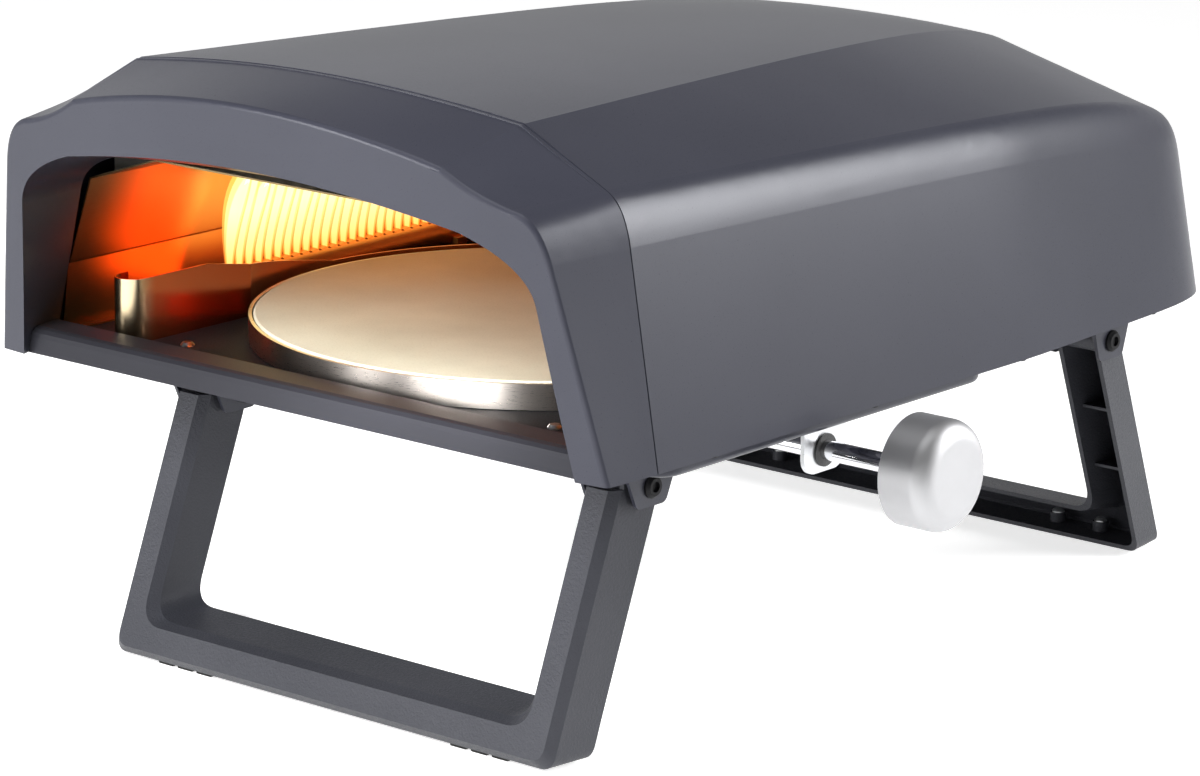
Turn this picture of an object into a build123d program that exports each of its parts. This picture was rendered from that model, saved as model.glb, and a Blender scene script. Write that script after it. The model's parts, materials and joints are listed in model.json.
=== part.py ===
from build123d import *
import math
import os

# A countertop gas pizza oven with a hand-turned round stone.
# Millimetres. While it is modelled, X = 0 is the middle plane, Y = 0 is the bottom edge of the
# front face, with +Y towards the back, and Z = 0 is the surface that the feet stand on.
# Every piece is moved by the same step when it is written, so that the origin ends up
# under the middle of the whole oven.

# Body shell
body_bottom = 173.0
body_half_width = 222.0
body_height = 181.0
shoulder_half_width = 203.3
shoulder_rise = 115.7
facet_low_half_width = 188.5
facet_low_rise = 143.6
crease_half_width = 136.8
crease_rise = 171.6
crease_taper = 0.119
body_length = 602.0
body_end = 600.5
seam_y = 37.0
seam_gap = 0.9
shell_wall = 1.5
roof_slope = 0.0345
roof_curve_power = 6.1
side_curve_start = 378.0
side_curve_power = 8.3
side_taper = 0.055
flange_width = 15.0
flange_thick = 2.5

# Hood, the cast front that frames the mouth
face_half_width = 219.5
face_lean = 0.135
face_bow = 13.0
face_side_rise = 114.0
face_side_half_width = 195.0
face_facet_rise = 140.0
face_facet_half_width = 173.0
face_crease_rise = 156.5
face_crease_half_width = 131.5
face_height = 172.0
facet_dip = 5.0
hood_wall = 2.5
hood_edge_round = 2.8
mouth_half_width = 200.0
mouth_side_half_width = 185.0
mouth_side_rise = 90.0
mouth_bend_half_width = 182.0
mouth_bend_rise = 112.0
mouth_corner_half_width = 140.0
mouth_corner_rise = 124.0
mouth_height = 136.8
mouth_margin = 3.0
tongue_length = 9.0
tongue_clearance = 0.3
tab_length = 14.0
tab_width = 12.0

# Base plate, sill and bottom pan
plate_thick = 2.0
plate_start = 39.5
plate_edge_gap = 1.0
sill_height = 14.0
sill_front = 2.5
sill_crest_depth = 6.0
sill_sheet = 2.0
pan_half_width = 210.0
pan_depth = 10.0
pan_front = 56.0
pan_back = 348.0
pan_sheet = 1.2
pan_corner = 16.0
pan_hole_radius = 24.0

# Cooking chamber, called the liner
liner_sheet = 1.0
liner_back_y = 440.0
liner_floor_half_width = 212.0
liner_step_rise = 39.0
liner_step_half_width = 205.5
liner_step = 1.5
liner_corner_half_width = 188.0
liner_corner_rise = 90.5
liner_roof_half_width = 137.0
liner_roof_rise = 107.5
liner_foot = 7.0
blanket_thick = 10.0
blanket_gap = 0.4
blanket_front_gap = 20.0

# Turntable
stone_radius = 163.2
stone_thick = 12.0
stone_bevel = 1.2
stone_gap = 0.8
tray_wall = 2.0
tray_floor = 1.5
tray_height = 12.6
tray_skirt = 1.8
tray_lift = 2.2
stone_y = 209.0
spindle_radius = 5.0
spindle_disc_radius = 20.0
spindle_disc_thick = 1.2
spindle_running_gap = 0.05
bush_wall = 2.5
bush_flange = 3.0
bush_flange_thick = 0.9

# Bevel gears, which turn the stone from the side
gear_module = 1.5
gear_teeth = 24
pinion_teeth = 16
gear_face = 7.0
pressure_angle = 20.0
backlash = 0.22
root_clearance = 0.35
tooth_tip = 0.9
gear_hub_radius = 9.0
gear_hub_length = 5.0
pinion_hub_radius = 8.5
pinion_hub_length = 6.0
shaft_drop = 15.0
shaft_radius = 5.5
shaft_running_gap = 0.05
shaft_inner_gap = 3.0
housing_radius = 28.0
housing_wall = 2.5
housing_floor = 3.0
housing_flange = 9.0
gear_headroom = 1.5

# Knob and its bracket
bracket_x = 197.2
bracket_sheet = 2.5
bracket_width = 37.0
bracket_below_shaft = 12.0
bracket_foot = 15.0
bracket_corner = 10.0
knob_start = 257.0
knob_length = 31.0
knob_radius = 30.7
knob_round = 10.7
knob_wall = 3.0
knob_hub_radius = 10.0
knob_bore_depth = 19.0
collar_width = 5.0
collar_wall = 3.0

# Folding legs
leg_lean = 0.386
leg_front = 22.0
leg_depth = 34.0
leg_half_width = 157.0
leg_flare = 8.0
leg_bevel = 4.5
leg_bevel_depth = 6.0
leg_post = 14.5
leg_inner_bevel = 4.5
leg_inner_draft = 3.0
leg_bar_height = 18.5
leg_bar_bevel = 2.5
leg_bar_draft = 3.0
leg_corner_inner = 15.0
leg_corner_outer = 8.0
leg_wall = 3.0
leg_face_wall = 4.0
leg_foot_bevel = 5.0
leg_rib_end = 26.0
rear_leg_front = 613.8
pivot_drop = 19.0
pivot_radius = 4.0
pivot_running_gap = 0.06
pivot_y = 100.0
leg_eye_radius = 15.8
boss_radius = 8.0
pad_proud = 2.0
pad_length = 44.0
pad_inset = 26.0
pad_ribs = 3
pad_thick = 2.0

# Hinge brackets
hinge_sheet = 2.0
hinge_gap = 0.8
hinge_top_length = 48.0
hinge_low_length = 24.0
hinge_below_pivot = 11.0
bolt_head_radius = 6.5
bolt_head = 3.0

# Burner and gas parts
burner_radius = 9.0
burner_wall = 1.2
burner_x = -190.0
burner_start = 145.0
burner_rear_y = 412.0
burner_bend = 28.0
burner_rise = 11.5
burner_out_x = 20.0
burner_stub = 22.0
port_pitch = 8.1
port_width = 2.2
port_length = 9.0
port_depth = 4.0
port_margin = 12.0
guard_sheet = 1.0
guard_x = -157.0
guard_start = 50.0
guard_straight_end = 118.0
guard_radius = 173.5
guard_end_angle = 98.0
guard_height = 36.5
guard_low_height = 15.5
guard_fall_start = 100.0
guard_fall_end = 222.0
guard_roll_radius = 10.0
guard_foot = 11.0
venturi_length = 44.0
venturi_mouth_radius = 11.0
jet_length = 9.0
jet_hex = 9.0
jet_gap = 3.0
valve_width = 26.0
valve_length = 30.0
valve_height = 42.0
stem_rise = 28.0
stem_radius = 4.0
stem_running_gap = 0.05
stem_travel = 2.5
gas_knob_radius = 19.0
gas_knob_length = 17.0
panel_y = 582.0
panel_sheet = 1.2
panel_half_span = 76.0
panel_offset = 66.0
panel_height = 64.0
inlet_x = 108.0
inlet_rise = 24.0
inlet_radius = 6.58
inlet_length = 12.0
inlet_bore = 3.5
inlet_tail = 14.0
inlet_hex = 19.0
inlet_hex_thick = 5.0
inlet_nut_thick = 4.0
inlet_relief = 1.0
inlet_relief_depth = 0.6
pipe_radius = 4.0
pipe_bend = 8.0

# Screws
screw_radius = 2.0
screw_head_radius = 4.0
screw_head = 2.2
hole_gap = 0.3

# Heights that follow from the sizes above
plate_bottom = body_bottom + flange_thick
plate_top = plate_bottom + plate_thick
pan_bottom = body_bottom - pan_depth
shaft_z = pan_bottom - shaft_drop
pivot_z = pan_bottom - pivot_drop
tray_bottom = plate_top + tray_lift
stone_bottom = tray_bottom + tray_floor
stone_top = stone_bottom + stone_thick
leg_bottom = pad_proud
burner_z = plate_top + burner_rise
stem_z = plate_top + stem_rise
tray_radius = stone_radius + stone_gap + tray_wall
mirror_y = (leg_front + rear_leg_front) / 2
leg_side_half_width = leg_half_width + leg_flare
leg_inner_half_width = leg_half_width - leg_post - leg_inner_bevel - leg_inner_draft


def box(x0, x1, y0, y1, z0, z1):
    """A block between two opposite corners."""
    return Pos((x0 + x1) / 2, (y0 + y1) / 2, (z0 + z1) / 2) * Box(x1 - x0, y1 - y0, z1 - z0)


def rod(start, direction, radius, length):
    """A round bar from a point, along a direction."""
    plane = Plane(origin=start, z_dir=direction)
    return extrude(plane * Circle(radius), length)


def tube(start, direction, outer, inner, length):
    """A hollow round bar."""
    plane = Plane(origin=start, z_dir=direction)
    return extrude(plane * (Circle(outer) - Circle(inner)), length)


def turned(profile, start, direction):
    """A turned piece from (radius, distance) points, along a direction."""
    plane = Plane(origin=start, z_dir=direction)
    points = [(radius, distance) for radius, distance in profile]
    section = make_face(Plane.XZ * Polyline(*points, close=True))
    solid = revolve(section, Axis.Z)
    return plane.location * solid


def in_xz(points, y0, y1):
    """A closed outline in the front view, pulled from y0 to y1."""
    outline = make_face(Plane.XZ * Polyline(*points, close=True))
    return extrude(Pos(0, y0, 0) * outline, y1 - y0, dir=(0, 1, 0))


def in_yz(points, x0, x1):
    """A closed outline in the side view, pulled from x0 to x1."""
    outline = make_face(Plane.YZ * Polyline(*points, close=True))
    return extrude(Pos(x0, 0, 0) * outline, x1 - x0, dir=(1, 0, 0))


def dome_screw(seat, direction, shank):
    """A dome-headed screw: its head stands on the seat, its shank goes the other way."""
    head = turned([(0, 0), (screw_head_radius, 0), (screw_head_radius, screw_head * 0.3),
                   (screw_head_radius * 0.7, screw_head), (0, screw_head)], seat, direction)
    back = Vector(*direction) * -1
    return head + rod(seat, back, screw_radius, shank)


def screw_hole(seat, direction, depth):
    """The clearance hole for such a screw, from just outside its seat."""
    back = Vector(*direction) * -1
    start = Vector(*seat) - back * 1.0
    return rod(start, back, screw_radius + hole_gap, depth + 1.0)


# Body shape

def roof_scale(y):
    """Height of the body at y as a share of its height at the seam."""
    fall = 1 - roof_slope * (y - seam_y) / body_height
    return fall * (1 - (max(0.0, y) / body_length) ** roof_curve_power) ** (1 / roof_curve_power)


def side_scale(y):
    """Width of the body at y as a share of its width at the seam."""
    turn = max(0.0, (y - side_curve_start) / (body_length - side_curve_start))
    return (1 - side_taper * turn) * (1 - turn ** side_curve_power) ** (1 / side_curve_power)


def crease_at(y):
    """Half width and rise of the crease at y, before the roof and sides are scaled down."""
    share = 1 - crease_taper * (y - seam_y) / crease_half_width
    return crease_half_width * share, body_height - (body_height - crease_rise) * share * share


def arch_edges(points, crown, at):
    """Edges of an arch from its right half: bottom, shoulder, facet and crease points.
    at() puts an (x, z) pair on the plane of the section."""
    bottom, shoulder, corner, facet, bend, crease = points
    edges = [Edge.make_line(at(-bottom[0], bottom[1]), at(*bottom)),
             Edge.make_line(at(*bottom), at(*shoulder)),
             Edge.make_bezier(at(*shoulder), at(*corner), at(*facet)),
             Edge.make_bezier(at(*facet), at(*bend), at(*crease)),
             Edge.make_bezier(at(*crease), at(0, 2 * crown - crease[1]), at(-crease[0], crease[1])),
             Edge.make_bezier(at(-crease[0], crease[1]), at(-bend[0], bend[1]), at(-facet[0], facet[1])),
             Edge.make_bezier(at(-facet[0], facet[1]), at(-corner[0], corner[1]),
                              at(-shoulder[0], shoulder[1])),
             Edge.make_line(at(-shoulder[0], shoulder[1]), at(-bottom[0], bottom[1]))]
    return Wire(edges)


def line_meet(p1, p2, q1, q2):
    """Where the line through p1 and p2 meets the line through q1 and q2."""
    d1 = (p2[0] - p1[0], p2[1] - p1[1])
    d2 = (q2[0] - q1[0], q2[1] - q1[1])
    cross = d1[0] * d2[1] - d1[1] * d2[0]
    share = ((q1[0] - p1[0]) * d2[1] - (q1[1] - p1[1]) * d2[0]) / cross
    return (p1[0] + d1[0] * share, p1[1] + d1[1] * share)


def body_section(y, inset, sink=0.0, at_y=None):
    """Outline of the body at y, drawn in by inset, with its bottom sunk to leave it open."""
    at_y = y if at_y is None else at_y
    wide = side_scale(y) * (body_half_width - inset) / body_half_width
    high = roof_scale(y) * (body_height - inset) / body_height

    def place(x, rise):
        return (x * wide, body_bottom + rise * high)

    bottom = place(body_half_width, 0)
    shoulder = place(shoulder_half_width, shoulder_rise)
    facet = place(facet_low_half_width, facet_low_rise)
    crease = place(*crease_at(y))
    corner = line_meet(bottom, shoulder, crease, facet)
    bend = ((facet[0] + crease[0]) / 2, (facet[1] + crease[1]) / 2)
    slope = (shoulder[0] - bottom[0]) / (shoulder[1] - bottom[1])
    bottom = (bottom[0] - slope * sink, bottom[1] - sink)
    crown = body_bottom + body_height * high
    return arch_edges([bottom, shoulder, corner, facet, bend, crease], crown,
                      lambda x, z: (x, at_y, z))


def body_stations():
    """Places along the body where its sections are drawn, closer together towards the back."""
    front = seam_y - face_bow
    reach = body_length - side_curve_start
    long_run = [front + (side_curve_start - front) * step / 7 for step in range(8)]
    short_run = [side_curve_start + reach * share for share in (0.16, 0.31, 0.45, 0.57)]
    round_end = [side_curve_start + reach * math.sin(math.radians(angle)) ** (2 / side_curve_power)
                 for angle in (12, 22, 32, 43, 54, 64)]
    return long_run + short_run + round_end + [body_end]


def body_solid(inset, start, end, sink=0.0):
    """The body as one solid block from start to end, drawn in by inset."""
    stations = body_stations()
    stretch = (end - start) / (body_end - stations[0])
    sections = [body_section(y, inset, sink, start + (y - stations[0]) * stretch) for y in stations]
    return Solid.make_loft(sections)


def body_plan(inset, start, z, thick):
    """A flat slab with the plan of the body, drawn in by inset."""
    end = body_end - inset
    right = []
    for y in [station for station in body_stations() if station >= side_curve_start - 50]:
        share = (y - start) / (body_end - start)
        right.append((body_half_width * side_scale(y) - inset, start + (end - start) * share))
    last = right[-1]
    first = (body_half_width * side_scale(start) - inset, start)
    edges = [Line(first, right[0]), Spline(*right, tangents=[(0, 1), (-1, 0.35)]),
             Line(last, (-last[0], last[1])),
             Spline(*[(-x, y) for x, y in reversed(right)], tangents=[(-1, -0.35), (0, -1)]),
             Line((-right[0][0], right[0][1]), (-first[0], start)), Line((-first[0], start), first)]
    return extrude(Pos(0, 0, z) * make_face(edges), thick, dir=(0, 0, 1))


def outer_shell():
    """Drawn sheet body: arched roof, sides and rounded back, with a flange turned in below."""
    front = seam_y - face_bow
    outside = body_solid(0, front, body_end)
    inside = body_solid(shell_wall, front - 1, body_end - shell_wall, sink=20)
    shell = (outside - inside) & behind_bow(seam_y + seam_gap, 0)
    start = seam_y + seam_gap + tab_length + 1
    flange = body_plan(0, start, body_bottom, flange_thick)
    flange = flange - body_plan(flange_width, start - 5, body_bottom - 1, flange_thick + 2)
    flange = flange & body_solid(shell_wall / 2, front, body_end - shell_wall / 2, sink=20)
    shell = shell + flange
    for seat in shell_screw_places():
        shell = shell - screw_hole(seat, (0, 0, -1), flange_thick)
    return shell - panel_opening(0)


def shell_screw_places():
    """Where screws go up through the flange into the base plate, on both sides."""
    places = []
    for y in (90.0, 230.0, 370.0, 515.0):
        reach = body_half_width * side_scale(y) - shell_wall - screw_head_radius - 0.8
        places += [(reach, y, body_bottom), (-reach, y, body_bottom)]
    return places


def panel_opening(gap):
    """The opening in the back of the shell for the gas panel."""
    return box(panel_offset - panel_half_span - gap, panel_offset + panel_half_span + gap,
               panel_y - 10, body_length + 5, body_bottom - 5, body_bottom + panel_height + gap)


# Hood

def bow_at(x):
    """How far the face and the seam bow forward at x."""
    return face_bow * (1 - (x / body_half_width) ** 2)


def behind_bow(start, lean):
    """Everything behind an upright or leaning front that bows forward at its middle."""
    low = body_bottom - 40
    edge = start + lean * (body_bottom - low)
    out = body_half_width + 10
    side = body_half_width
    plan = [ThreePointArc((-side, edge), (0, edge - face_bow), (side, edge)), Line((side, edge), (out, edge)),
            Line((out, edge), (out, body_length + 50)), Line((out, body_length + 50), (-out, body_length + 50)),
            Line((-out, body_length + 50), (-out, edge)), Line((-out, edge), (-side, edge))]
    return extrude(Pos(0, 0, low) * make_face(plan), 2 * body_height, dir=(0, -lean, 1))


def between_planes(first, second, start, lean):
    """Where the line from one (x, y, rise) point to another meets a plane y = start - lean * rise."""
    run = second[1] - first[1] + lean * (second[2] - first[2])
    share = (start - lean * first[2] - first[1]) / run
    return (first[0] + share * (second[0] - first[0]), body_bottom + first[2] + share * (second[2] - first[2]))


def on_face(x, rise):
    """A point of the bowed, leaning front face."""
    return (x, -face_lean * rise - bow_at(x), rise)


def hood_outline(inset, start, lean):
    """Outline of the hood on a plane y = start - lean * rise, drawn in by inset."""
    face = [(face_half_width, 0), (face_side_half_width, face_side_rise),
            (face_facet_half_width, face_facet_rise),
            ((face_facet_half_width + face_crease_half_width) / 2,
             (face_facet_rise + face_crease_rise) / 2 - facet_dip),
            (face_crease_half_width, face_crease_rise), (0, face_height)]
    seam = [(body_half_width, 0), (shoulder_half_width, shoulder_rise),
            (facet_low_half_width, facet_low_rise),
            ((facet_low_half_width + crease_half_width) / 2, (facet_low_rise + crease_rise) / 2),
            (crease_half_width, crease_rise), (0, body_height)]
    points = []
    for (face_x, face_rise), (seam_x, seam_rise) in zip(face, seam):
        first = on_face(face_x, face_rise)
        first = (face_x * (1 - inset / face_half_width), first[1], face_rise * (1 - inset / face_height))
        second = (seam_x * (1 - inset / body_half_width), seam_y - bow_at(seam_x),
                  seam_rise * (1 - inset / body_height))
        points.append(between_planes(first, second, start, lean))
    bottom, shoulder, facet, bend, crease, crown = points
    corner = line_meet(bottom, shoulder, bend, facet)
    return arch_edges([bottom, shoulder, corner, facet, bend, crease], crown[1],
                      lambda x, z: (x, start - lean * (z - body_bottom), z))


def mouth_edges(points, crown, at):
    """Edges of the mouth from its right half: bottom, side, corner and top points."""
    bottom, side, corner, top = points
    edges = [Edge.make_line(at(-bottom[0], bottom[1]), at(*bottom)),
             Edge.make_line(at(*bottom), at(*side)),
             Edge.make_bezier(at(*side), at(*corner), at(*top)),
             Edge.make_bezier(at(*top), at(0, 2 * crown - top[1]), at(-top[0], top[1])),
             Edge.make_bezier(at(-top[0], top[1]), at(-corner[0], corner[1]), at(-side[0], side[1])),
             Edge.make_line(at(-side[0], side[1]), at(-bottom[0], bottom[1]))]
    return Wire(edges)


def mouth_outline(grow, sink, start, lean):
    """Outline of the mouth on a plane y = start - lean * rise, grown all round."""
    slope = (liner_floor_half_width - liner_corner_half_width) / (liner_corner_rise - flange_thick)
    wide = liner_floor_half_width + mouth_margin
    side = wide - slope * liner_corner_rise
    top = plate_top - body_bottom + liner_roof_rise + mouth_margin
    face = [(mouth_half_width + grow, 0), (mouth_side_half_width + grow, mouth_side_rise),
            (mouth_bend_half_width + grow, mouth_bend_rise + grow),
            (mouth_corner_half_width + grow / 2, mouth_corner_rise + grow), (0, mouth_height + grow)]
    rear = [(wide + grow, 0), (side + grow, liner_corner_rise), (side - 5 + grow, top - 5 + grow),
            (liner_roof_half_width + mouth_margin + grow / 2, top + grow), (0, top + 1 + grow)]
    points = [between_planes(on_face(*first), (second[0], plate_start, second[1]), start, lean)
              for first, second in zip(face, rear)]
    bottom, side, corner, top, crown = points
    drop = sink / (side[1] - bottom[1])
    bottom = (bottom[0] + drop * (bottom[0] - side[0]), bottom[1] - sink)
    return mouth_edges([bottom, side, corner, top], crown[1],
                       lambda x, z: (x, start - lean * (z - body_bottom), z))


def mouth_solid(grow, end, sink):
    """The way into the oven, from in front of the face to the liner, grown all round."""
    front = -face_bow - hood_edge_round
    return Solid.make_loft([mouth_outline(grow, sink, front, face_lean), mouth_outline(grow, sink, end, 0)],
                           ruled=True)


def hood_block(inset, front, end):
    """The outside of the hood as one block between its bowed face and its bowed seam."""
    block = Solid.make_loft([hood_outline(inset, -face_bow - hood_edge_round, face_lean),
                             hood_outline(inset, seam_y + 3, 0)], ruled=True)
    return (block & behind_bow(front, face_lean)) - behind_bow(end, 0)


def hood():
    """Cast front: a bowed, leaning face round the mouth, hollow behind, with a tongue into the shell."""
    block = hood_block(0, 0, seam_y)
    rim = block.faces().sort_by(Axis.Y)[0].edges().sort_by(Axis.Z)[1:]
    block = fillet(rim, hood_edge_round)
    pocket = hood_block(hood_wall, hood_wall, seam_y + 1)
    pocket = pocket - mouth_solid(hood_wall, seam_y + 2, 10)
    floor = box(-body_half_width, body_half_width, -60, seam_y + 5, body_bottom - 10,
                body_bottom + flange_thick)
    pocket = pocket - floor
    cast = block - mouth_solid(0, seam_y + 1, 10) - pocket
    cast = cast + hood_tongue() + hood_tabs()
    for seat in tab_screw_places():
        cast = cast - screw_hole(seat, (0, 0, -1), flange_thick)
    return cast


def tongue_ring(outer, inner, front, end):
    """Part of a ring inside the front edge of the shell, between two bowed planes."""
    stations = (seam_y - face_bow - 6, seam_y + 14)
    block = Solid.make_loft([body_section(y, outer) for y in stations], ruled=True)
    hollow = Solid.make_loft([body_section(y, inner, 20, y + shift) for y, shift in zip(stations, (-1, 1))],
                             ruled=True)
    low = box(-body_half_width, body_half_width, -40, end + 5, 0, plate_top + 3)
    return ((block - hollow - low) & behind_bow(front, 0)) - behind_bow(end, 0)


def hood_tongue():
    """The lip that reaches inside the front edge of the shell."""
    inset = shell_wall + tongue_clearance
    lip = tongue_ring(inset, inset + 2, seam_y - 1.5, seam_y + seam_gap + tongue_length)
    return lip + tongue_ring(0.5, inset + 2, seam_y - 2.5, seam_y)


def tab_screw_places():
    """Where the base plate is screwed to the hood's two tabs."""
    reach = face_half_width - hood_wall - tab_width / 2 - 3
    y = plate_start + tab_length / 2
    return [(reach, y, body_bottom), (-reach, y, body_bottom)]


def hood_tabs():
    """Two feet at the back of the pillars, which the base plate lies on."""
    tabs = None
    for seat in tab_screw_places():
        tab = box(seat[0] - tab_width / 2, seat[0] + tab_width / 2, seam_y - 8,
                  seam_y + seam_gap + tab_length, body_bottom, body_bottom + flange_thick)
        tabs = tab if tabs is None else tabs + tab
    return tabs


# Base plate, sill and pan

def hinge_screw_places():
    """Screws that hold the four hinge brackets: front pair to the pan, rear pair to the plate."""
    middle = leg_side_half_width - (leg_side_half_width - leg_inner_half_width) / 2
    front = [(side * middle, pivot_y + step, pan_bottom) for side in (1, -1) for step in (-14, 14)]
    rear_y = 2 * mirror_y - pivot_y
    rear = [(side * middle, rear_y + step, plate_bottom) for side in (1, -1) for step in (-14, 14)]
    return front, rear


def base_screw_places():
    """Dome screws on the chamber floor."""
    return [(side * 134.0, y, plate_top) for side in (1, -1) for y in (60.0, 425.0)]


def base_plate():
    """Floor of the chamber and backbone of the oven, with the bush bore and air slots."""
    inset = shell_wall + plate_edge_gap
    plate = box(-body_half_width, body_half_width, plate_start, body_length, plate_bottom, plate_top)
    plate = plate & body_solid(inset, seam_y - face_bow, body_end - inset, sink=20)
    bore = spindle_radius + bush_wall
    plate = plate - rod((0, stone_y, plate_bottom - 1), (0, 0, 1), bore, plate_thick + 2)
    for seat in shell_screw_places() + tab_screw_places():
        plate = plate - screw_hole(seat, (0, 0, -1), flange_thick + plate_thick + 1)
    for seat in hinge_screw_places()[1]:
        plate = plate - screw_hole(seat, (0, 0, -1), plate_thick + 1)
    for seat in base_screw_places():
        plate = plate - screw_hole(seat, (0, 0, 1), plate_thick + 1)
    for step in range(6):
        y = liner_back_y + 24 + 14 * step
        plate = plate - box(-150, -60, y, y + 5, plate_bottom - 1, plate_top + 1)
    return plate


def front_sill():
    """Rolled sheet between the pillars: upright front, rounded crest, flat top, back flange."""
    z0 = body_bottom
    crest = z0 + sill_height
    back = plate_start

    def profile(thick):
        front = sill_front + thick
        points = [(front, z0 - (1 if thick else 0)), (front + 1, crest - 5 - thick / 2)]
        for step in range(1, 4):
            turn = math.radians(30 * step)
            points.append((front + 1 + sill_crest_depth * (1 - math.cos(turn)),
                           crest - 5 - thick / 2 + (5 - thick / 2) * math.sin(turn)))
        points.append((back - 9, crest - 1 - thick))
        points.append((back - thick, plate_top - thick * 0.6))
        points.append((back - thick, z0 - (1 if thick else 0)))
        return points

    outside = in_yz(profile(0), -body_half_width, body_half_width)
    inside = in_yz(profile(sill_sheet), -body_half_width - 1, body_half_width + 1)
    sheet = outside - inside
    sill = sheet & mouth_solid(-0.4, back + 1, 2)
    for seat in tab_screw_places():
        side = math.copysign(1, seat[0])
        x0, x1 = sorted((seat[0] - side * (tab_width / 2 + 0.4), side * body_half_width))
        sill = sill - box(x0, x1, seam_y - 8.4, back + 1, z0 - 5, plate_bottom + 0.4)
    return sill


def bottom_pan():
    """Shallow pan under the floor, which catches crumbs and carries the drive."""
    def tray(shrink, low):
        outline = RectangleRounded(2 * (pan_half_width - shrink), pan_back - pan_front - 2 * shrink,
                                   pan_corner - shrink)
        middle = (pan_front + pan_back) / 2
        return extrude(Pos(0, middle, low) * outline, body_bottom - low + (1 if shrink else 0))
    block = fillet(tray(0, pan_bottom).faces().sort_by(Axis.Z)[0].edges(), 3.0)
    hollow = fillet(tray(pan_sheet, pan_bottom + pan_sheet).faces().sort_by(Axis.Z)[0].edges(),
                    3.0 - pan_sheet)
    pan = block - hollow
    pan = pan - rod((0, stone_y, pan_bottom - 1), (0, 0, 1), pan_hole_radius, pan_depth)
    for x, y, seat_z in hinge_screw_places()[0] + housing_screw_places() + bracket_screw_places():
        pan = pan - screw_hole((x, y, pan_bottom), (0, 0, -1), pan_sheet + 1)
    return pan


# Liner and insulation

def liner_points(grow):
    """Right half of the liner's inside from floor to roof, pushed out by grow."""
    z = plate_top
    return [(liner_floor_half_width + grow, z),
            (liner_step_half_width + liner_step + grow, z + liner_step_rise),
            (liner_step_half_width + grow, z + liner_step_rise + 1.5),
            (liner_corner_half_width + grow, z + liner_corner_rise + grow * 0.8),
            (liner_roof_half_width + grow * 0.3, z + liner_roof_rise + grow)]


def liner_outline(grow, sink):
    """Whole closed outline of the liner in the front view."""
    right = liner_points(grow)
    if sink:
        right = [(right[0][0], right[0][1] - sink)] + right
    left = [(-x, z) for x, z in reversed(right)]
    return right + left


def liner():
    """Folded stainless chamber: joggled walls, sloped shoulders, flat roof and feet."""
    outside = in_xz(liner_outline(liner_sheet, 0), plate_start, liner_back_y)
    inside = in_xz(liner_outline(0, 3), plate_start - 1, liner_back_y + 1)
    sheet = outside - inside
    edge = liner_floor_half_width + liner_sheet
    for side in (1, -1):
        x0, x1 = sorted((side * (edge - 0.5), side * (edge - liner_foot)))
        sheet = sheet + box(x0, x1, plate_start, liner_back_y, plate_top, plate_top + liner_sheet)
    return sheet


def liner_back():
    """Back wall of the chamber, with the hole for the burner."""
    y1 = liner_back_y + liner_sheet
    wall = in_xz(liner_outline(liner_sheet, 0), liner_back_y, y1)
    hole = rod((burner_out_x, liner_back_y - 1, burner_z), (0, 1, 0), burner_radius + 1.0, 4)
    probe_hole = rod((igniter_x(), liner_back_y - 1, burner_z + 14), (0, 1, 0), 3.3, 4)
    couple_hole = rod((igniter_x() - 24, liner_back_y - 1, burner_z + 14), (0, 1, 0), 2.3, 4)
    foot = box(-180, 180, liner_back_y, liner_back_y + 10, plate_top, plate_top + liner_sheet)
    foot = foot - box(burner_out_x - 12, burner_out_x + 12, liner_back_y - 1, liner_back_y + 12,
                      plate_top - 1, plate_top + 4)
    return wall + foot - hole - probe_hole - couple_hole


def insulation_blanket():
    """Ceramic fibre blanket over the roof and the sloped shoulders of the liner."""
    near = liner_sheet + blanket_gap
    shoulder, roof = liner_points(near)[3:]
    inner = [shoulder, roof, (-roof[0], roof[1]), (-shoulder[0], shoulder[1])]
    outer = [(x, z + blanket_thick) for x, z in reversed(inner)]
    return in_xz(inner + outer, plate_start + blanket_front_gap, liner_back_y)


# Turntable

def turntable_tray():
    """Stainless tray that carries the stone: floor and upright rim, which reaches below it."""
    radius = tray_radius
    tray = turned([(0, 0), (radius - tray_wall, 0), (radius - tray_wall, -tray_skirt), (radius, -tray_skirt),
                   (radius, tray_height), (radius - tray_wall, tray_height),
                   (radius - tray_wall, tray_floor), (0, tray_floor)], (0, stone_y, tray_bottom), (0, 0, 1))
    tray = tray - rod((0, stone_y, tray_bottom - 1), (0, 0, 1), spindle_radius + 0.2, tray_floor + 2)
    for seat in tray_screw_places():
        tray = tray - screw_hole(seat, (0, 0, -1), tray_floor + 1)
    return tray


def tray_screw_places():
    """Three countersunk screws that hold the spindle's disc to the tray."""
    reach = spindle_disc_radius - 6
    return [(reach * math.cos(math.radians(120 * n)), stone_y + reach * math.sin(math.radians(120 * n)),
             tray_bottom) for n in range(3)]


def pizza_stone():
    """Round cordierite stone with a bevelled edge and a recess over the spindle's end."""
    radius = stone_radius
    stone = turned([(0, 0), (radius - stone_bevel, 0), (radius, stone_bevel),
                    (radius, stone_thick - stone_bevel), (radius - stone_bevel, stone_thick),
                    (0, stone_thick)], (0, stone_y, stone_bottom), (0, 0, 1))
    recess = rod((0, stone_y, stone_bottom - 1), (0, 0, 1), spindle_disc_radius, 4)
    return stone - recess


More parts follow.
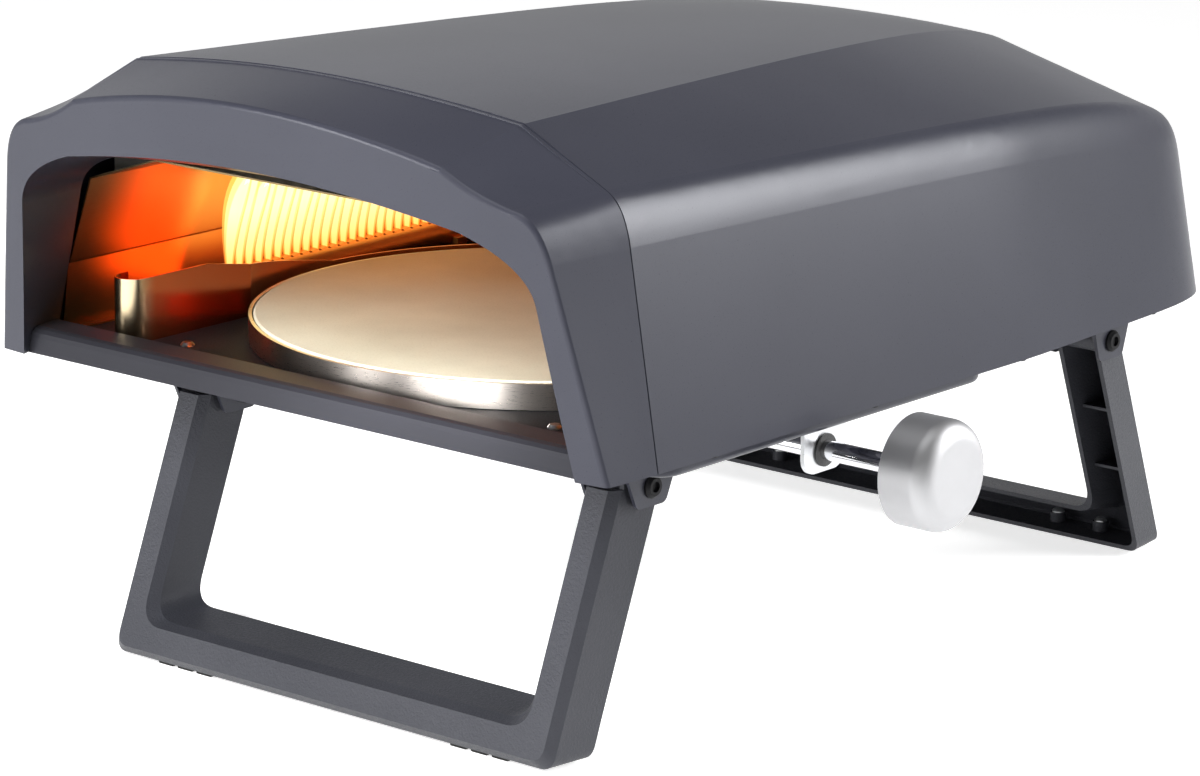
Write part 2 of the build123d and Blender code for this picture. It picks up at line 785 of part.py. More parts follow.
def spindle():
    """Upright shaft with the disc under the tray and a groove for its clip."""
    top = tray_bottom
    low = housing_bottom() + housing_floor
    disc = rod((0, stone_y, top - spindle_disc_thick), (0, 0, 1), spindle_disc_radius, spindle_disc_thick)
    post = rod((0, stone_y, low + 0.4), (0, 0, 1), spindle_radius, top + tray_floor - low - 0.4)
    groove = tube((0, stone_y, clip_z()), (0, 0, 1), spindle_radius + 1, spindle_radius - 0.8, 1.0)
    body = disc + post - groove
    for seat in tray_screw_places():
        body = body - rod((seat[0], seat[1], top - 3), (0, 0, 1), screw_radius, 5)
    return body


def tray_screws():
    """Countersunk screws up through the disc into the tray."""
    screws = None
    for x, y, z in tray_screw_places():
        screw = rod((x, y, z - spindle_disc_thick), (0, 0, 1), screw_radius - 0.05,
                    spindle_disc_thick + tray_floor)
        screws = screw if screws is None else screws + screw
    return screws


def upper_bush_flange_z():
    """Top of the flange of the upper spindle bush."""
    return plate_top + bush_flange_thick


def spindle_bush_upper():
    """Flanged bronze bush in the base plate."""
    hole = spindle_radius + spindle_running_gap
    out = spindle_radius + bush_wall
    length = plate_thick + 5
    sleeve = tube((0, stone_y, plate_top - length), (0, 0, 1), out, hole, length)
    flange = tube((0, stone_y, plate_top), (0, 0, 1), out + bush_flange, hole, bush_flange_thick)
    return sleeve + flange


def clip_z():
    """Height of the retaining clip, just under the upper bush."""
    return plate_top - plate_thick - 5 - 1.2


def spindle_clip():
    """E-clip that keeps the spindle from lifting out."""
    ring = tube((0, stone_y, clip_z()), (0, 0, 1), spindle_radius + 2.6, spindle_radius - 0.75, 0.9)
    return ring - box(-2.5, 2.5, stone_y - 12, stone_y, clip_z() - 1, clip_z() + 2)


# Bevel gears

def cone_distance():
    """Distance from the point where the two axes meet to the outer end of the teeth."""
    return gear_module * math.hypot(gear_teeth, pinion_teeth) / 2


def tooth_outline(teeth, cone_angle, scale):
    """Half-flank points (half thickness, height above pitch line) of one bevel tooth."""
    flat_radius = gear_module * teeth / 2 / math.cos(cone_angle)
    alpha = math.radians(pressure_angle)
    base = flat_radius * math.cos(alpha)
    low = flat_radius - gear_module * (tooth_tip + 0.1) - root_clearance
    high = flat_radius + gear_module * tooth_tip
    flat_teeth = teeth / math.cos(cone_angle)
    half_angle = math.pi / (2 * flat_teeth) - backlash / (4 * flat_radius)
    roll = math.tan(alpha) - alpha
    points = []
    steps = 4
    start = max(low, base)
    for step in range(steps):
        radius = start + (high - start) * step / (steps - 1)
        angle = math.acos(min(1.0, base / radius))
        spread = half_angle + roll - (math.tan(angle) - angle)
        points.append((radius * math.sin(spread), radius * math.cos(spread) - flat_radius))
    points.insert(0, (points[0][0] * 1.02, low - flat_radius - gear_module))
    return [(x * scale, h * scale) for x, h in points]


def bevel_tooth(teeth, cone_angle, number, turn):
    """One tooth of a bevel gear whose axis is +Z, with the meeting point of the axes at 0."""
    far = cone_distance()
    near = far - gear_face
    sections = []
    for distance in (far, near):
        scale = distance / far
        points = tooth_outline(teeth, cone_angle, scale)
        outline = points + [(-x, h) for x, h in reversed(points)]
        origin = Vector(distance * math.sin(cone_angle), 0, distance * math.cos(cone_angle))
        plane = Plane(origin=origin, x_dir=(0, 1, 0),
                      z_dir=(math.sin(cone_angle), 0, math.cos(cone_angle)))
        # the plane's own +Y points towards the axis, so heights are written with a minus
        side = -1 if plane.y_dir.X > 0 else 1
        wire = Wire.make_polygon([plane.from_local_coords((x, -side * h, 0)) for x, h in outline])
        sections.append(wire)
    tooth = Solid.make_loft(sections, ruled=True)
    return Rot(0, 0, math.degrees(turn) + 360 * number / teeth) * tooth


def bevel_gear_solid(teeth, mate_teeth, hub_radius, hub_length, bore, turn):
    """A bevel gear on +Z with the meeting point of the axes at 0 and its hub behind."""
    cone_angle = math.atan2(teeth, mate_teeth)
    far = cone_distance()
    root = gear_module * (tooth_tip + 0.1) + root_clearance
    root_angle = cone_angle - math.atan2(root, far)
    outer_r = far * math.sin(root_angle)
    outer_z = far * math.cos(root_angle)
    near = (far - gear_face) / far
    back = outer_z + 2.2
    profile = [(bore, outer_z * near), (outer_r * near, outer_z * near), (outer_r, outer_z),
               (outer_r * 0.97, back), (hub_radius, back), (hub_radius, back + hub_length),
               (bore, back + hub_length)]
    gear = turned(profile, (0, 0, 0), (0, 0, 1))
    teeth_solids = [bevel_tooth(teeth, cone_angle, number, turn) for number in range(teeth)]
    gear = gear.fuse(*teeth_solids)
    keep = turned([(bore - 0.001, outer_z * near - gear_module * 2), (far + 5, outer_z * near - gear_module * 2),
                   (far + 5, back + hub_length), (bore - 0.001, back + hub_length)], (0, 0, 0), (0, 0, 1))
    return gear & keep


def bevel_gear():
    """Larger bevel gear on the spindle, teeth facing down."""
    gear = bevel_gear_solid(gear_teeth, pinion_teeth, gear_hub_radius, gear_hub_length,
                            spindle_radius + 0.02, 0.0)
    return Pos(0, stone_y, shaft_z) * gear


def bevel_pinion():
    """Smaller bevel gear on the inner end of the drive shaft."""
    half_tooth = math.pi / pinion_teeth
    gear = bevel_gear_solid(pinion_teeth, gear_teeth, pinion_hub_radius, pinion_hub_length,
                            shaft_radius + 0.02, half_tooth)
    return Pos(0, stone_y, shaft_z) * Rot(0, 90, 0) * gear


def pinion_back():
    """Distance from the spindle axis to the back of the pinion's hub."""
    cone_angle = math.atan2(pinion_teeth, gear_teeth)
    root = gear_module * (tooth_tip + 0.1) + root_clearance
    root_angle = cone_angle - math.atan2(root, cone_distance())
    return cone_distance() * math.cos(root_angle) + 2.2 + pinion_hub_length


# Gear housing and drive

def housing_bottom():
    """Underside of the gear housing."""
    return shaft_z - gear_module * pinion_teeth / 2 - gear_module - gear_headroom - housing_floor - 1


def housing_side():
    """Outer radius of the gear housing, which clears the back of the pinion."""
    hub_corner = math.hypot(pinion_back() + 0.6, pinion_hub_radius)
    return max(housing_radius, hub_corner + housing_wall)


def housing_screw_places():
    """Four screws that hang the gear housing from the pan."""
    reach = housing_side() + housing_flange / 2
    return [(reach * math.cos(math.radians(45 + 90 * n)),
             stone_y + reach * math.sin(math.radians(45 + 90 * n)), pan_bottom - 2.5) for n in range(4)]


def gear_housing():
    """Cast cup round the bevel gears, with a foot bearing and a side bearing."""
    low = housing_bottom()
    side = housing_side()
    high = pan_bottom
    cup = turned([(0, low), (side - 3, low), (side, low + 3), (side, high - 2.5),
                  (side + housing_flange, high - 2.5), (side + housing_flange, high),
                  (side - housing_wall, high), (side - housing_wall, low + housing_floor),
                  (0, low + housing_floor)], (0, stone_y, 0), (0, 0, 1))
    boss = rod((side - housing_wall, stone_y, shaft_z), (1, 0, 0), shaft_radius + bush_wall + 3, 9)
    cup = cup + boss
    bore = shaft_radius + bush_wall
    cup = cup - rod((side - housing_wall - 4, stone_y, shaft_z), (1, 0, 0), bore, 16)
    socket = turned([(spindle_radius + spindle_running_gap, low + housing_floor),
                     (spindle_radius + 4, low + housing_floor),
                     (spindle_radius + 4, low + housing_floor + 3.5),
                     (spindle_radius + spindle_running_gap, low + housing_floor + 3.5)],
                    (0, stone_y, 0), (0, 0, 1))
    cup = cup + socket
    for seat in housing_screw_places():
        cup = cup - screw_hole(seat, (0, 0, -1), 4)
    return cup


def shaft_bush_inner():
    """Flanged bush in the wall of the gear housing."""
    x0 = housing_side() - housing_wall
    hole = shaft_radius + shaft_running_gap
    out = shaft_radius + bush_wall
    sleeve = tube((x0, stone_y, shaft_z), (1, 0, 0), out, hole, 9)
    flange = tube((x0 + 9, stone_y, shaft_z), (1, 0, 0), out + 2, hole, 1.5)
    return sleeve + flange


def bracket_screw_places():
    """Two screws through the foot of the shaft bracket into the pan."""
    x = bracket_x - bracket_foot / 2
    return [(x, stone_y + step, pan_bottom - bracket_sheet) for step in (-11, 11)]


def shaft_bracket():
    """Galvanised angle bracket that holds the outer end of the drive shaft."""
    half = bracket_width / 2
    low = shaft_z - bracket_below_shaft
    blade = Pos(0, stone_y, (pan_bottom + low) / 2) * Box(bracket_sheet, bracket_width, pan_bottom - low)
    blade = Pos(bracket_x + bracket_sheet / 2, 0, 0) * blade
    corners = blade.edges().filter_by(Axis.X).group_by(Axis.Z)[0]
    blade = fillet(corners, bracket_corner)
    foot = box(bracket_x - bracket_foot, bracket_x + bracket_sheet / 2, stone_y - half, stone_y + half,
               pan_bottom - bracket_sheet, pan_bottom)
    bracket = blade + foot
    bore = shaft_radius + bush_wall
    bracket = bracket - rod((bracket_x - 1, stone_y, shaft_z), (1, 0, 0), bore, bracket_sheet + 2)
    for seat in bracket_screw_places():
        bracket = bracket - screw_hole(seat, (0, 0, -1), bracket_sheet + 1)
    return bracket


def shaft_bush_outer():
    """Flanged bush in the bracket."""
    hole = shaft_radius + shaft_running_gap
    out = shaft_radius + bush_wall
    x0 = bracket_x - 2.0
    sleeve = tube((x0, stone_y, shaft_z), (1, 0, 0), out, hole, bracket_sheet + 2.0)
    flange = tube((bracket_x + bracket_sheet, stone_y, shaft_z), (1, 0, 0), out + 1.2, hole, 1.2)
    return sleeve + flange


def shaft_start():
    """Inner end of the drive shaft, clear of the spindle."""
    return spindle_radius + shaft_inner_gap


def drive_shaft():
    """Chromed shaft from the pinion out to the knob."""
    x0 = shaft_start()
    x1 = knob_start + knob_bore_depth - 0.5
    bar = rod((x0, stone_y, shaft_z), (1, 0, 0), shaft_radius, x1 - x0)
    return chamfer(bar.edges().filter_by(GeomType.CIRCLE), 0.5)


def shaft_collar():
    """Collar that stops the shaft from sliding outwards, inside the bracket."""
    x1 = bracket_x - 2.0 - 0.3
    return tube((x1 - collar_width, stone_y, shaft_z), (1, 0, 0), shaft_radius + collar_wall,
                shaft_radius + 0.02, collar_width)


def drive_knob():
    """Turned aluminium knob: full round outer edge, hollow back and a hub."""
    inner = knob_radius - knob_wall
    end = knob_length
    outer = Plane.XZ * Polyline((0, 0), (knob_radius - 0.8, 0), (knob_radius, 0.8),
                                (knob_radius, end - knob_round))
    corner = Plane.XZ * ThreePointArc(
        (knob_radius, end - knob_round),
        (knob_radius - knob_round * (1 - math.cos(math.pi / 4)),
         end - knob_round * (1 - math.sin(math.pi / 4))),
        (knob_radius - knob_round, end))
    cap = Plane.XZ * Polyline((knob_radius - knob_round, end), (0, end), (0, 0))
    profile = make_face([*outer.edges(), *corner.edges(), *cap.edges()])
    solid = revolve(profile, Axis.Z)
    place = Plane(origin=(knob_start, stone_y, shaft_z), z_dir=(1, 0, 0)).location
    knob = place * solid
    depth = end - knob_round
    hollow = tube((knob_start - 1, stone_y, shaft_z), (1, 0, 0), inner, knob_hub_radius, depth + 1)
    bore = rod((knob_start - 1, stone_y, shaft_z), (1, 0, 0), shaft_radius + 0.02, knob_bore_depth + 1)
    relief = rod((knob_start - 1, stone_y, shaft_z), (1, 0, 0), knob_hub_radius + 1, 4)
    tap = rod((knob_start + 9, stone_y, shaft_z + shaft_radius), (0, 0, 1), 2.0, knob_hub_radius)
    return knob - hollow - bore - relief - tap


def knob_screw():
    """Grub screw in the knob's hub."""
    return rod((knob_start + 9, stone_y, shaft_z + shaft_radius + 0.02), (0, 0, 1), 1.95,
               knob_hub_radius - shaft_radius - 0.6)


# Legs

def leg_plane_point(x, z, back):
    """A point on a plane parallel to the leg's leaning front, a distance behind it."""
    return (x, leg_front + back + leg_lean * (z - leg_bottom), z)


def leg_step(back, bevel, draft):
    """How far a side of a leg has stepped a distance behind its face: by its bevel, then its draft."""
    if back < leg_bevel_depth:
        return bevel * back / leg_bevel_depth
    return bevel + draft * (back - leg_bevel_depth) / (leg_depth - leg_bevel_depth)


def leg_outline(shrink, top, back):
    """Rounded outline of the outside of a leg on one of its leaning planes."""
    half_width = leg_half_width + leg_step(back, leg_bevel, leg_flare - leg_bevel) - shrink
    foot_z = leg_bottom + leg_foot_bevel - leg_step(back, leg_foot_bevel, 0) + shrink
    corner = leg_corner_outer
    inner = 0.3 * corner
    at = leg_plane_point
    right_foot = [at(half_width - corner, foot_z, back), at(half_width - inner, foot_z + inner, back),
                  at(half_width, foot_z + corner, back)]
    left_foot = [(-x, y, z) for x, y, z in right_foot]
    edges = [Edge.make_line(left_foot[0], right_foot[0]),
             Edge.make_bezier(right_foot[0], at(half_width, foot_z, back), right_foot[2]),
             Edge.make_line(right_foot[2], at(half_width, top, back)),
             Edge.make_line(at(half_width, top, back), at(-half_width, top, back)),
             Edge.make_line(at(-half_width, top, back), left_foot[2]),
             Edge.make_bezier(left_foot[2], at(-half_width, foot_z, back), left_foot[0])]
    return Wire(edges)


def leg_window(grow, top, back):
    """Outline of the opening of a leg on one of its leaning planes."""
    half_width = leg_half_width - leg_post - leg_step(back, leg_inner_bevel, leg_inner_draft) + grow
    sill = leg_bottom + leg_bar_height + leg_step(back, leg_bar_bevel, leg_bar_draft) - grow
    corner = leg_corner_inner
    at = leg_plane_point
    edges = [Edge.make_line(at(-half_width + corner, sill, back), at(half_width - corner, sill, back)),
             Edge.make_bezier(at(half_width - corner, sill, back), at(half_width, sill, back),
                              at(half_width, sill + corner, back)),
             Edge.make_line(at(half_width, sill + corner, back), at(half_width, top, back)),
             Edge.make_line(at(half_width, top, back), at(-half_width, top, back)),
             Edge.make_line(at(-half_width, top, back), at(-half_width, sill + corner, back)),
             Edge.make_bezier(at(-half_width, sill + corner, back), at(-half_width, sill, back),
                              at(-half_width + corner, sill, back))]
    return Wire(edges)


def leg_block(shrink, front, end):
    """Outside of a leg as one block: bevelled front edge, then a slight flare to the back."""
    backs = (front, leg_bevel_depth, end)
    return Solid.make_loft([leg_outline(shrink, pivot_z + 30, back) for back in backs], ruled=True)


def leg_gap(grow, front, end):
    """The opening of a leg as one block, narrower and lower behind its bevel."""
    backs = (front, leg_bevel_depth, end)
    return Solid.make_loft([leg_window(grow, pivot_z + 40, back) for back in backs], ruled=True)


def leg_bolt_spans():
    """Inner and outer X of the two posts at the pivot."""
    return leg_inner_half_width, leg_side_half_width


def front_leg():
    """Cast leg frame: two posts and a foot bar, open behind, with ribs, bosses and round eyes."""
    frame = leg_block(0, 0, leg_depth) - leg_gap(0, -1, leg_depth + 1)
    hollow = leg_block(leg_wall, leg_face_wall, leg_depth + 1)
    hollow = hollow - leg_gap(leg_wall, leg_face_wall - 2, leg_depth + 2)
    frame = frame - hollow
    inner, outer = leg_bolt_spans()
    inside = leg_block(leg_wall / 2, leg_face_wall / 2, leg_rib_end)
    inside = inside - leg_gap(leg_wall / 2, leg_face_wall / 2 - 1, leg_rib_end + 1)
    for side in (1, -1):
        x0, x1 = sorted((side * (inner + 0.5), side * (outer - 1.5)))
        frame = frame + rod((x0, pivot_y, pivot_z), (1, 0, 0), boss_radius, x1 - x0)
        frame = frame + (leg_ribs(side) & inside)
    frame = frame - eye_trim()
    for side in (1, -1):
        frame = frame - rod((side * (inner - 10), pivot_y, pivot_z), (side, 0, 0),
                            pivot_radius + pivot_running_gap, outer - inner + 25)
    for x, y, z in pad_screw_places():
        frame = frame + rod((x, y, leg_bottom), (0, 0, 1), 5.0, 9.0)
        frame = frame - rod((x, y, leg_bottom - 1), (0, 0, 1), screw_radius + 0.05, 16)
    return frame


def eye_trim():
    """What is cut from the top of a leg to leave a round eye about the pivot."""
    trim = box(-leg_side_half_width - 2, leg_side_half_width + 2, pivot_y - 60, pivot_y + 60,
               pivot_z, pivot_z + 80)
    eye = rod((-leg_side_half_width - 2, pivot_y, pivot_z), (1, 0, 0), leg_eye_radius,
              2 * leg_side_half_width + 4)
    return trim - eye


def leg_ribs(side):
    """Cross ribs inside a post."""
    inner, outer = leg_bolt_spans()
    ribs = None
    for z in (55.0, 95.0):
        y = leg_front + leg_lean * (z - leg_bottom)
        x0, x1 = sorted((side * inner, side * outer))
        rib = box(x0, x1, y, y + leg_depth, z, z + 2)
        ribs = rib if ribs is None else ribs + rib
    return ribs


def to_rear(shape):
    """The same piece for the rear leg: mirrored front to back."""
    return mirror(shape, about=Plane(origin=(0, mirror_y, 0), z_dir=(0, 1, 0)))


def pad_middle(side):
    """Middle of a foot pad on the front leg."""
    half = pad_length / 2
    return (side * (leg_half_width - pad_inset - half), leg_front + leg_bevel_depth + 10)


def pad_screw_places():
    """Two screws for each foot pad, at the middle of the foot bar."""
    places = []
    for side in (1, -1):
        x, y = pad_middle(side)
        for step in (-0.36, 0.36):
            places.append((x + step * pad_length, y, leg_bottom))
    return places


def leg_pads():
    """Ribbed rubber foot pads of the front leg."""
    pads = None
    for side in (1, -1):
        x, y = pad_middle(side)
        pitch = pad_length / pad_ribs
        for rib in range(pad_ribs):
            x0 = x - pad_length / 2 + rib * pitch
            block = box(x0 + 1.5, x0 + pitch - 1.5, y - 8, y + 8, 0, leg_bottom)
            block = fillet(block.edges().filter_by(Axis.Y).group_by(Axis.Z)[0], 0.8)
            pads = block if pads is None else pads + block
        strip = box(x - pad_length / 2, x + pad_length / 2, y - 8, y + 8, leg_bottom - 0.8, leg_bottom)
        pads = pads + strip
    for x, y, z in pad_screw_places():
        pads = pads - rod((x, y, -1), (0, 0, 1), screw_radius + 0.05, leg_bottom + 2)
    return pads


def pad_screws():
    """Screws down through the foot bar into the pads."""
    screws = None
    for x, y, z in pad_screw_places():
        seat = (x, y, leg_bottom + 9.0)
        screw = dome_screw(seat, (0, 0, 1), 9.0 + pad_thick * 0.4)
        screws = screw if screws is None else screws + screw
    return screws


# Hinge brackets

def hinge_bracket(side, roof_z):
    """Clevis of bent sheet round one post: two trapezoid cheeks and a web against the floor."""
    inner, outer = leg_bolt_spans()
    near = inner - hinge_gap
    far = outer + hinge_gap
    low = pivot_z - hinge_below_pivot
    half_top = hinge_top_length / 2
    half_low = hinge_low_length / 2
    cheek = [(pivot_y - half_top, roof_z), (pivot_y - half_top, roof_z - hinge_sheet - 1),
             (pivot_y - half_low, low), (pivot_y + half_low, low),
             (pivot_y + half_top, roof_z - hinge_sheet - 1), (pivot_y + half_top, roof_z)]
    pieces = None
    for x in (near - hinge_sheet, far):
        plate = in_yz(cheek, x, x + hinge_sheet)
        plate = fillet(plate.edges().filter_by(Axis.X).group_by(Axis.Z)[0], 5.0)
        pieces = plate if pieces is None else pieces + plate
    web = box(near - hinge_sheet, far + hinge_sheet, pivot_y - half_top, pivot_y + half_top,
              roof_z - hinge_sheet, roof_z)
    bracket = pieces + web
    bracket = bracket - rod((near - 20, pivot_y, pivot_z), (1, 0, 0), pivot_radius + 0.02, far - near + 40)
    for step in (-14, 14):
        bracket = bracket - screw_hole(((near + far) / 2, pivot_y + step, roof_z - hinge_sheet), (0, 0, -1),
                                       hinge_sheet + 1)
    if side < 0:
        bracket = mirror(bracket, about=Plane.YZ)
    return bracket


def hinge_bolts():
    """Four shoulder bolts, the hinge pins of the legs."""
    inner, outer = leg_bolt_spans()
    x0 = inner - hinge_gap - hinge_sheet
    x1 = outer + hinge_gap + hinge_sheet
    head = turned([(0, 0), (bolt_head_radius, 0), (bolt_head_radius, bolt_head * 0.4),
                   (bolt_head_radius * 0.75, bolt_head), (3.0, bolt_head), (3.0, bolt_head * 0.4),
                   (0, bolt_head * 0.4)], (x1, pivot_y, pivot_z), (1, 0, 0))
    shank = rod((x0 - 4.5, pivot_y, pivot_z), (1, 0, 0), pivot_radius, x1 - x0 + 4.5)
    nut = extrude(Plane(origin=(x0 - 4, pivot_y, pivot_z), z_dir=(1, 0, 0))
                  * RegularPolygon(bolt_head_radius, 6), 4)
    bolt = head + shank + nut
    pair = bolt + mirror(bolt, about=Plane.YZ)
    return pair + to_rear(pair)


def hinge_screws():
    """Screws that hold the hinge brackets, seen from below."""
    front, rear = hinge_screw_places()
    screws = None
    for places, roof in ((front, pan_bottom), (rear, plate_bottom)):
        grip = hinge_sheet + (pan_sheet if roof == pan_bottom else plate_thick) + 1.5
        for x, y, z in places:
            screw = dome_screw((x, y, roof - hinge_sheet), (0, 0, -1), grip)
            screws = screw if screws is None else screws + screw
    return screws


# Burner and guard

def burner_path(end_y):
    """Centre line of the burner: up the left side, along the back, then out through the wall."""
    points = [(burner_x, burner_start, burner_z), (burner_x, burner_rear_y, burner_z),
              (burner_out_x, burner_rear_y, burner_z), (burner_out_x, end_y, burner_z)]
    rear_bend = min(burner_bend, (end_y - burner_rear_y) * 0.9)
    return FilletPolyline(*points, radius=[burner_bend, rear_bend])


def burner_tube():
    """Stainless tube burner with a closed front end and a row of flame slots on top."""
    end_y = liner_back_y + burner_stub
    path = burner_path(end_y)
    start = Plane(origin=(burner_x, burner_start, burner_z), z_dir=(0, 1, 0))
    outside = sweep(start * Circle(burner_radius), path=path)
    inside = sweep(start * Circle(burner_radius - burner_wall), path=path)
    cap = rod((burner_x, burner_start - burner_wall, burner_z), (0, 1, 0), burner_radius, burner_wall + 0.01)
    pipe = outside - inside + cap
    slots = burner_slots()
    return pipe - slots


def burner_slots():
    """Cutters for the flame slots, across the tube, on the left run and on the back run."""
    top = burner_z + burner_radius
    cutters = []
    side_run = burner_rear_y - burner_bend - port_margin - burner_start
    for number in range(int(side_run / port_pitch) + 1):
        y = burner_start + port_margin / 2 + number * port_pitch
        cutters.append(box(burner_x - port_length / 2, burner_x + port_length / 2, y, y + port_width,
                           top - port_depth, top + 1))
    back_run = burner_out_x - burner_bend - burner_x - burner_bend - port_margin
    for number in range(int(back_run / port_pitch) + 1):
        x = burner_x + burner_bend + port_margin / 2 + number * port_pitch
        cutters.append(box(x, x + port_width, burner_rear_y - port_length / 2,
                           burner_rear_y + port_length / 2, top - port_depth, top + 1))
    return cutters


def burner_supports():
    """Saddle clips that hold the burner above the floor."""
    clips = None
    for x, y, along_y in ((burner_x, burner_start + 40, True), (burner_x, burner_rear_y - 70, True),
                          (burner_x + 100, burner_rear_y, False)):
        block = box(-4, 4, -burner_radius - 4, burner_radius + 4, plate_top, burner_z - 2)
        if along_y:
            block = Rot(0, 0, 90) * block
        block = Pos(x, y, 0) * block
        direction = (0, 1, 0) if along_y else (1, 0, 0)
        start = (x, y - 30, burner_z) if along_y else (x - 30, y, burner_z)
        block = block - rod(start, direction, burner_radius + 0.1, 60)
        clips = block if clips is None else clips + block
    return clips


def guard_path(offset):
    """Plan line of the flame guard: straight from its rolled end, then round the stone."""
    radius = guard_radius + offset
    x = guard_x - offset
    meet_y = stone_y - math.sqrt(radius * radius - x * x)
    begin = math.atan2(meet_y - stone_y, x)
    begin = begin if begin > 0 else begin + 2 * math.pi
    end = math.radians(guard_end_angle)
    middle = (begin + end) / 2

    def on_arc(angle):
        return (radius * math.cos(angle), stone_y + radius * math.sin(angle))

    return x, meet_y, on_arc(middle), on_arc(end), on_arc(begin)


def flame_guard():
    """Low stainless wall between flames and stone: rolled front end, top edge falling to the back."""
    inner = guard_path(0)
    outer = guard_path(guard_sheet)
    roll = guard_roll_radius
    y0 = guard_start
    inner_x, outer_x = inner[0], outer[0]
    left_x = inner_x - 2 * roll
    edges = [Line((inner_x, y0), inner[4]),
             ThreePointArc(inner[4], inner[2], inner[3]),
             Line(inner[3], outer[3]),
             ThreePointArc(outer[3], outer[2], outer[4]),
             Line(outer[4], (outer_x, y0)),
             ThreePointArc((outer_x, y0), (inner_x - roll, y0 - roll + guard_sheet),
                           (left_x + guard_sheet, y0)),
             Line((left_x + guard_sheet, y0), (left_x + guard_sheet, y0 + 6)),
             Line((left_x + guard_sheet, y0 + 6), (left_x, y0 + 6)),
             Line((left_x, y0 + 6), (left_x, y0)),
             ThreePointArc((left_x, y0), (inner_x - roll, y0 - roll), (inner_x, y0))]
    plan = make_face(edges)
    wall = extrude(Pos(0, 0, plate_top) * plan, guard_height)
    top = plate_top + guard_height
    low = plate_top + guard_low_height
    fall = [(guard_fall_start, top), (guard_fall_end, low), (600, low), (600, top + 5),
            (guard_fall_start, top + 5)]
    wall = wall - in_yz(fall, -300, 300)
    foot = box(inner_x - guard_foot, inner_x - 0.2, guard_start + 10, guard_straight_end - 10, plate_top,
               plate_top + guard_sheet)
    wall = wall + foot
    for seat in guard_screw_places():
        wall = wall - screw_hole((seat[0], seat[1], plate_top + guard_sheet), (0, 0, 1), 2)
    return wall


def guard_screw_places():
    """Two screws through the guard's foot."""
    x = guard_x - (guard_sheet + guard_foot) / 2
    return [(x, guard_start + step, plate_top + guard_sheet) for step in (14, 50)]


def igniter_x():
    """Where the ignition electrode comes through the back wall."""
    return burner_out_x - burner_bend - 50


def igniter_electrode():
    """Spark electrode: a ceramic body through the back wall and a bent wire tip."""
    x = igniter_x()
    z = burner_z + 14
    body = rod((x, liner_back_y - 10, z), (0, 1, 0), 3.0, 34)
    collar = tube((x, liner_back_y + liner_sheet, z), (0, 1, 0), 5.5, 2.9, 4)
    tip = rod((x, burner_rear_y + 3, z), (0, 1, 0), 0.9, liner_back_y - 8 - burner_rear_y)
    return body + collar + tip


def thermocouple():
    """Flame sensor that shuts the gas off when the flame goes out."""
    x = igniter_x() - 24
    z = burner_z + 14
    probe = rod((x, burner_rear_y + 2, z), (0, 1, 0), 2.0, liner_back_y + 24 - burner_rear_y)
    nut = extrude(Plane(origin=(x, liner_back_y + liner_sheet, z), z_dir=(0, 1, 0))
                  * (RegularPolygon(5.5, 6) - Circle(1.95)), 5)
    return probe + nut


# Gas train at the back

def venturi_start():
    return liner_back_y + burner_stub


def venturi():
    """Mixing tube: a throat into the burner, air windows and a flared mouth."""
    y0 = venturi_start() - 12
    inner = burner_radius - burner_wall - 0.05
    wall = 1.2
    mouth = venturi_mouth_radius
    length = venturi_length
    profile = [(inner, 0), (inner, 12), (burner_radius, 12.01), (burner_radius, 20),
               (mouth, length), (mouth, length + 12), (mouth - wall, length + 12),
               (mouth - wall, length), (inner - wall, 20), (inner - wall, 0)]
    body = turned(profile, (burner_out_x, y0, burner_z), (0, 1, 0))
    windows = []
    for number in range(4):
        window = box(-4, 4, length + 2, length + 9, mouth - 4, mouth + 4)
        windows.append(Pos(burner_out_x, y0, burner_z) * (Rot(0, 45 + 90 * number, 0) * window))
    return body - windows


def valve_front():
    """Front face of the valve body."""
    return venturi_start() - 12 + venturi_length + 12 + jet_gap


def gas_jet():
    """Brass jet that blows gas into the venturi's mouth."""
    y = valve_front()
    nose = turned([(0.6, 0), (2.5, 0), (3.5, 4), (3.5, jet_length), (0.6, jet_length)],
                  (burner_out_x, y - jet_length, burner_z), (0, 1, 0))
    hexagon = extrude(Plane(origin=(burner_out_x, y - 4, burner_z), z_dir=(0, 1, 0))
                      * (RegularPolygon(jet_hex / 2, 6) - Circle(3.4)), 4)
    return nose + hexagon


def gas_valve():
    """Brass valve body on the floor, with the stem bore, jet outlet and inlet boss."""
    y0 = valve_front()
    y1 = y0 + valve_length
    half = valve_width / 2
    body = box(burner_out_x - half, burner_out_x + half, y0, y1, plate_top, plate_top + valve_height)
    body = chamfer(body.edges().filter_by(Axis.Y), 4.0)
    neck = rod((burner_out_x, y1, stem_z), (0, 1, 0), stem_radius + 5, 8)
    body = body + neck
    body = body - rod((burner_out_x, y0 + 8, stem_z), (0, 1, 0), stem_radius + stem_running_gap, 60)
    boss = rod((burner_out_x + half, y0 + valve_length / 2, burner_z + 4), (1, 0, 0), 8, 6)
    return body + boss


def stem_start():
    return valve_front() + 8 + stem_travel + 1.0


def valve_stem():
    """Stem that the gas knob turns and pushes."""
    length = knob_back() + gas_knob_length - 5 - stem_start()
    return rod((burner_out_x, stem_start(), stem_z), (0, 1, 0), stem_radius, length)


def washer_y():
    """Place of the spring washer on the stem."""
    return panel_y - 6.0 - stem_travel


def spring_washer():
    """Cup washer, which slides with the stem and takes the spring."""
    return tube((burner_out_x, washer_y(), stem_z), (0, 1, 0), stem_radius + 4.5,
                stem_radius + stem_running_gap, 1.5)


def return_spring():
    """Spring that pushes the stem and knob back out."""
    start = valve_front() + valve_length + 8
    return tube((burner_out_x, start, stem_z), (0, 1, 0), stem_radius + 3.4, stem_radius + 1.6,
                washer_y() - start)


